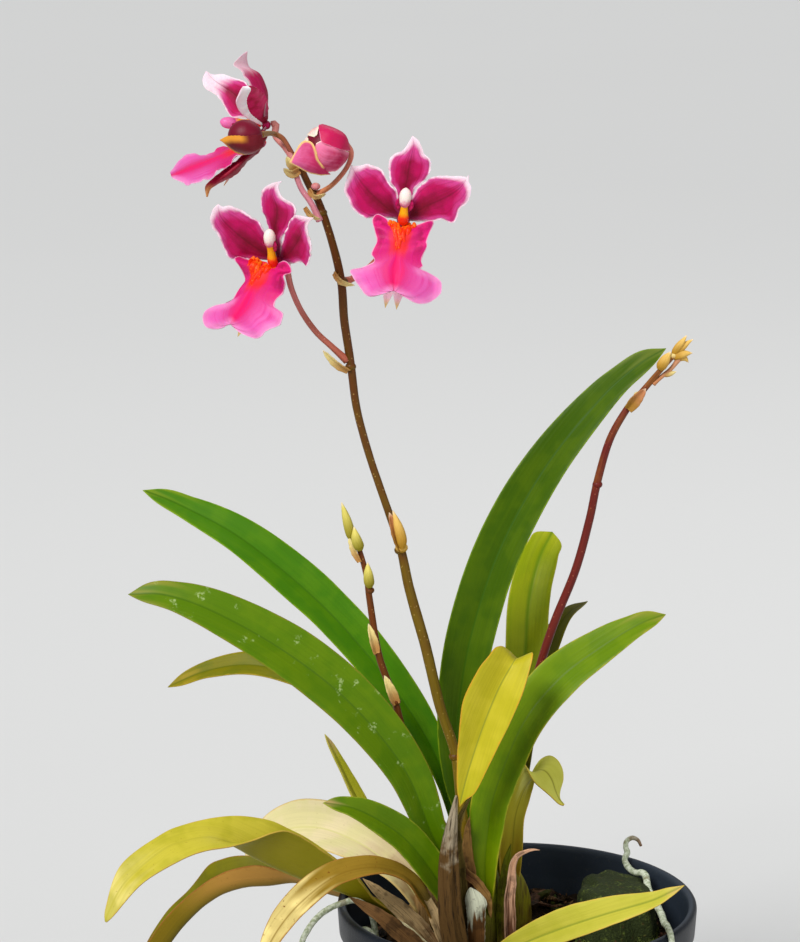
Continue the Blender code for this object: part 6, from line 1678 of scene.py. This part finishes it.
# The inside tint is paler than the outside colour: painted light that lifts the shade inside the pot
potHow = dict(height=105, rim=60, band=11, step=2.2, wall=1.3, floor=2, base=44, sides=176, holes=6,
              holeRadius=4.5, colour=(22, 27, 34), insidePaintedLight=(46, 53, 62), dust=(104, 98, 86))


# The wall's outer radius at a height: straight from the base to the step under the rim band
def wallRadius(z):
    top = potHow["rim"] - potHow["step"]
    return potHow["base"] + (top - potHow["base"]) * z / (potHow["height"] - potHow["band"])


# Pot finish: near black plastic, cloudy, with a little dust; the inside gets a greyer tint, painted light
# that lifts the shade on the inner wall
def potPaint():
    p = Paint("potPaint", potHow["colour"])
    grain, cloud = p.noise(0.5, 3), p.noise(14, 3)
    p.coat(potHow["colour"], cloud, 0.4, 0.7, 0.5, 1.6)
    # Painted light: the inner wall gets a paler grey so its shade reads lighter
    p.coat(potHow["insidePaintedLight"], p.across)
    p.coat(potHow["dust"], p.noise(1.8, 4), 0.62, 0.72, 0.12)
    return p.done(p.sum(p.times(cloud, 0.2), 0.32), p.both(grain, 0.6, cloud, 0.4), 0.12)


# The pot: a profile of (radius, height) turned about Z, its corners rounded by short arcs
def makePot():
    height, rim, wall, floorZ, base = (potHow[k] for k in ("height", "rim", "wall", "floor", "base"))
    under = height - potHow["band"]
    inner = wallRadius(under) - wall
    profile = [(0, 0), (base - 3, 0), (base - 1.5, 0), (base - 0.5, 0.4), (base, 1.5)]
    profile += [(wallRadius(z), z) for z in np.linspace(6, under - 2, 10)]
    profile += [(wallRadius(under) - 0.2, under - 0.2), (rim - 1.2, under + 0.1), (rim - 0.6, under + 0.8)]
    profile += [(rim - 0.35, under + 4), (rim - 0.1, height - 3.2), (rim, height - 1.6),
                (rim - 0.1, height - 0.9)]
    profile += [(rim - 0.4, height - 0.35), (rim - 1.0, height), (rim - 1.7, height - 0.02),
                (rim - 2.3, height - 0.25)]
    profile += [(rim - 2.7, height - 0.7), (rim - 2.95, height - 2), (rim - 3.2, height - 6)]
    profile += [(inner + 0.25, under + 0.5), (inner, under - 1)]
    profile += [(wallRadius(z) - wall, z) for z in np.linspace(under - 6, floorZ + 4, 10)]
    profile += [(wallRadius(floorZ) - wall - 0.3, floorZ + 0.8), (wallRadius(floorZ) - wall - 1.2, floorZ),
                (0, floorZ)]
    profile = np.array(profile)
    a = np.arange(potHow["sides"]) * 2 * math.pi / potHow["sides"]
    line = profile[1:-1]
    rings = triple(line[:, :1] * np.cos(a), line[:, :1] * np.sin(a), line[:, 1:])
    marks = np.zeros_like(rings)
    # Painted light: the inner wall's points are marked for the paler tint that lifts its shade
    marks[..., 0] = (np.arange(len(line)) > 22)[:, None]  # the inside, paler than the outside
    body = closed(rings, marks, marks, (0, 0, profile[0][1]), (0, 0, profile[-1][1]))
    obj = piece("potBody", [body], [potPaint()], ["pot"])
    cutters, hole = [], potHow["holeRadius"]
    for k in range(potHow["holes"]):
        turn = 2 * math.pi * (k + 0.5) / potHow["holes"]
        x, y = base * 0.7 * math.cos(turn), base * 0.7 * math.sin(turn)
        cutters.append(tube([(x, y, -3), (x, y, 1), (x, y, 5)], ((0, hole), (1, hole)), rows=2, sides=32,
                            even=True))
    cutter = piece("cutter", cutters, [], [])
    cut = obj.modifiers.new("holes", "BOOLEAN")
    cut.operation, cut.object, cut.solver = "DIFFERENCE", cutter, "MANIFOLD"
    bpy.context.view_layer.update()
    mesh = bpy.data.meshes.new_from_object(obj.evaluated_get(bpy.context.evaluated_depsgraph_get()))
    obj.modifiers.clear()
    obj.data = mesh
    bpy.data.objects.remove(cutter)
    obj.data.set_sharp_from_angle(angle=math.radians(50))
    return obj


makePot()
print("pot made")


# Bark mix: a lumpy plug that fills the pot, with chips and crumbs of bark and some curled flakes on top

barkHow = dict(top=88, gap=0.6, sides=120, rings=46, chips=520, chipSize=(6.5, 4.2, 2.4), crumbs=1700,
               crumbSize=1.3, flakes=26, dark=(22, 16, 8), mid=(60, 42, 20), pale=(120, 92, 60),
               rose=(116, 76, 56))


# The soil's waves, products of sines, and a heap exp(-r^2) towards the back
def soilHeight(x, y):
    waves = np.sin(x * 0.21 + 1.0) * np.cos(y * 0.17) + 0.6 * np.sin(x * 0.39 - y * 0.33 + 2)
    heap = np.exp(-(((x - 5) / 15) ** 2) - ((y - 36) / 11) ** 2)  # higher towards the back
    return 0.9 * waves + 4.2 * heap


# Many small closed lumps at once: one ball of rings, its points pushed about by seeded noise, then scaled,
# turned and placed per lump. across holds each lump's own random number for its colour
def lumps(rng, places, sizes, rough=0.25, rings=3, sides=6, flat=0.6):
    n = len(places)
    b = np.linspace(0, math.pi, rings + 2)[1:-1, None]
    a = np.arange(sides)[None, :] * 2 * math.pi / sides
    base = triple(np.sin(b) * np.cos(a), np.sin(b) * np.sin(a), -np.cos(b)).reshape(-1, 3)
    base = np.vstack([base, [0, 0, -1], [0, 0, 1]])
    base = np.sign(base) * np.abs(base) ** 0.7
    faces = facingOut(base, skin(rings, sides))
    m = len(base)
    points = base[None] * (1 + rng.uniform(-rough, rough, (n, m, 1)))
    points = points * sizes[:, None, :]
    turns = rng.uniform(0, 6.28, n), rng.uniform(-flat, flat, n), rng.uniform(-flat, flat, n)
    (c1, s1), (c2, s2), (c3, s3) = ((np.cos(turn)[:, None], np.sin(turn)[:, None]) for turn in turns)
    x, y, z = points[..., 0], points[..., 1], points[..., 2]
    y, z = y * c2 - z * s2, y * s2 + z * c2
    x, z = x * c3 + z * s3, z * c3 - x * s3
    points = triple(x * c1 - y * s1, x * s1 + y * c1, z) + places[:, None, :]
    groups = [(g[None] + (np.arange(n) * m)[:, None, None]).reshape(-1, g.shape[1]) for g in faces]
    luck = [np.repeat(rng.uniform(0, 1, n), m) for _ in range(2)]
    marks = np.column_stack([*luck, np.zeros(n * m)])
    return dict(points=points.reshape(-1, 3), faces=groups, spot=marks, reach=marks, paint=0)


# Bark finish: each lump's own random number picks its brown, with grain and some green
def barkPaint():
    dark, mid, pale, rose = (ink(barkHow[k]) for k in ("dark", "mid", "pale", "rose"))
    p = Paint("barkPaint", barkHow["dark"])
    grain = p.noise(1.2, 4)
    p.colour = p.ramp(p.across, ((0, dark), (0.35, mid), (0.7, mid), (0.85, rose), (1, pale)))
    p.coat(barkHow["dark"], grain, 0.4, 0.65, 0.7)
    p.coat(barkHow["pale"], p.noise(0.6, 3), 0.6, 0.75, 0.35)
    p.coat((72, 84, 26), p.along, 0.84, 0.92, 0.7)
    return p.done(p.sum(p.times(grain, 0.2), 0.72), p.both(grain, 0.6, p.noise(0.4, 2), 0.4), 0.5)


# Random places on the bark mix: even over the disc, at the height of its surface
def scatter(rng, n, radius, lift):
    r, a = radius * np.sqrt(rng.uniform(0, 1, n)), rng.uniform(0, 2 * math.pi, n)
    x, y = r * np.cos(a), r * np.sin(a)
    return np.column_stack([x, y, barkHow["top"] + soilHeight(x, y) + rng.uniform(*lift, n)])


# The plug under a lumpy surface, then chips, crumbs and curled flakes scattered over it
def makeBark():
    rng = np.random.default_rng(5)
    top, n = barkHow["top"], barkHow["sides"]
    rim = wallRadius(top) - potHow["wall"] - barkHow["gap"]
    foot = wallRadius(potHow["floor"]) - potHow["wall"] - barkHow["gap"]
    a = np.arange(n) * 2 * math.pi / n
    low, count = potHow["floor"] + 0.3, barkHow["rings"]
    radii = np.concatenate([[foot * 0.5, foot], np.linspace(foot, rim, 10)[1:],
                            rim * np.linspace(0.985, 0.02, count)])
    heights = np.concatenate([[low, low], np.linspace(low, top - 1.5, 10)[1:], np.full(count, top)])
    x, y = radii[:, None] * np.cos(a), radii[:, None] * np.sin(a)
    onTop = (np.arange(len(radii)) > 10)[:, None]
    lump = 0.9 * wander2(x * 0.45, y * 0.45, 3, 1.4) + 0.5 * wander2(x * 1.3, y * 1.3, 4, 1.2)
    rings = triple(x, y, heights[:, None] + onTop * (soilHeight(x, y) + lump))
    marks = np.zeros_like(rings)
    marks[..., 0] = 0.15
    solids = [closed(rings, marks, marks)]
    places = scatter(rng, barkHow["chips"], rim - 4, (-0.6, 1.6))
    sizes = np.array(barkHow["chipSize"]) / 2 * rng.uniform(0.45, 1.25, (len(places), 3))
    solids.append(lumps(rng, places, sizes, 0.28, 4, 7))
    places = scatter(rng, barkHow["crumbs"], rim - 1.2, (-0.3, 1.2))
    sizes = barkHow["crumbSize"] / 2 * rng.uniform(0.4, 1.3, (len(places), 3))
    solids.append(lumps(rng, places, sizes, 0.3, 2, 5, 1.5))
    for k in range(barkHow["flakes"]):  # curled flakes: a strip of a cylinder wall
        place = scatter(rng, 1, rim - 8, (1.0, 2.6))[0]
        long, curl, radius = rng.uniform(5, 11), rng.uniform(1.2, 2.8), rng.uniform(2, 4.5)
        u, v = np.linspace(-0.5, 0.5, 12)[:, None], np.linspace(-0.5, 0.5, 12)[None, :]
        angle = v * curl
        grid = triple(u * long, radius * np.sin(angle) * (1 - 0.5 * u),
                      radius * (1 - np.cos(angle)) * rng.choice((-1, 1)) + 0.4 * np.sin(5 * u + k))
        grid = placed(grid, place, (rng.uniform(0, 360), rng.uniform(-25, 25), rng.uniform(-25, 25)))
        mark = np.zeros_like(grid)
        mark[..., 0] = rng.uniform(0.5, 1)
        solids.append(thickSheet(grid, rng.uniform(0.6, 1.1), mark, mark))
    return piece("barkMix", solids, [barkPaint()], ["substrate"], smooth=False)


makeBark()
print("bark made")


# Moss: a lumpy block with thousands of tiny pointed leaves

mossHow = dict(centre=(34, 14, 88), radii=(16, 22.5, 22.7), tufts=12000, long=1.5, wide=0.16, top=105.6,
               dark=(44, 52, 24), light=(126, 142, 62))


# The moss block's surface at two angles: a ball pushed towards a box, with lumps from sines
def mossSurface(a, b):
    x, y, z = np.sin(b) * np.cos(a), np.sin(b) * np.sin(a), -np.cos(b)
    square = 1 / np.maximum(np.maximum(np.abs(x), np.abs(y)), np.abs(z)) ** 0.45
    lump = 1 + 0.06 * np.sin(9 * x + 4 * z) * np.cos(8 * y) + 0.035 * wander2(6 * x + 3 * z, 6 * y - 2 * z, 9)
    lump = lump + 0.012 * wander2(17 * x + 5 * z, 15 * y + 9 * z, 19)
    p = triple(x, y, z) * (square * lump)[..., None] * (np.array(mossHow["radii"]) * 0.86)
    p = p + np.array(mossHow["centre"], float)
    over = p[..., 2] - (mossHow["top"] - 0.13 * (p[..., 0] - 28))
    p[..., 2] -= 0.85 * np.maximum(over, 0)  # a flattened top that tilts down to the right
    return p


# The block, then tufts: thin three-sided spikes that lean out of the surface at random
def makeMoss():
    b = np.linspace(0, math.pi, 50)[1:-1, None]
    a = np.arange(80)[None, :] * 2 * math.pi / 80
    rings = mossSurface(a, b)
    marks = np.zeros_like(rings)
    low, high = mossSurface(np.zeros(2), np.array([0.001, 3.141]))
    solids = [closed(rings, marks, marks, low, high)]
    rng = np.random.default_rng(8)
    n = mossHow["tufts"]
    b = np.arccos(rng.uniform(-0.98, 0.15, n))
    a = rng.uniform(0, 6.283, n)
    foot = mossSurface(a, math.pi - b)
    away = unit(foot - np.array(mossHow["centre"]) + (0, 0, 3))
    grow = unit(away + rng.normal(0, 0.45, (n, 3)))
    lush = wander2(foot[:, 0] * 0.3, foot[:, 1] * 0.3, 12)[:, None] > 0
    long = mossHow["long"] * rng.uniform(0.5, 1.2, (n, 1)) * (0.6 + 0.6 * lush)
    side = unit(np.cross(grow, rng.normal(0, 1, (n, 3))))
    other = np.cross(grow, side) * mossHow["wide"]
    side = side * mossHow["wide"]
    corners = [foot - grow * 0.2 + side * math.cos(t) + other * math.sin(t) for t in (0, 2.094, 4.189)]
    points = np.stack([*corners, foot + grow * long], axis=1).reshape(-1, 3)
    base = facingOut(points[:4], [np.array([[0, 1, 3], [1, 2, 3], [2, 0, 3], [0, 2, 1]])])[0]
    faces = (base[None] + (np.arange(n) * 4)[:, None, None]).reshape(-1, 3)
    luck = np.repeat(rng.uniform(0, 1, n), 4)
    tip = np.tile([0, 0, 0, 1.0], n)
    marks = np.column_stack([luck, tip, 0 * luck])
    solids.append(dict(points=points, faces=[faces], spot=marks, reach=marks, paint=0))
    p = Paint("mossPaint", mossHow["dark"])
    # Paler green over some tufts, their tips and patches, mottled by fine noise: partly the moss's own paler
    # growth and partly painted highlight
    patch = p.ease(p.noise(4, 4), 0.4, 0.7)
    mixed = p.sum(p.times(p.across, 0.45), p.both(p.along, 0.25, patch, 0.3))
    p.coat(mossHow["light"], p.stray(mixed, p.noise(0.9, 4), 1.5), 0.1, 1.0)
    p.coat((70, 50, 26), p.noise(2, 3), 0.62, 0.72, 0.5)
    piece("mossBlock", solids, [p.done(0.85, p.noise(0.8, 4), 0.8)], ["moss_mound"])


makeMoss()
print("moss made")
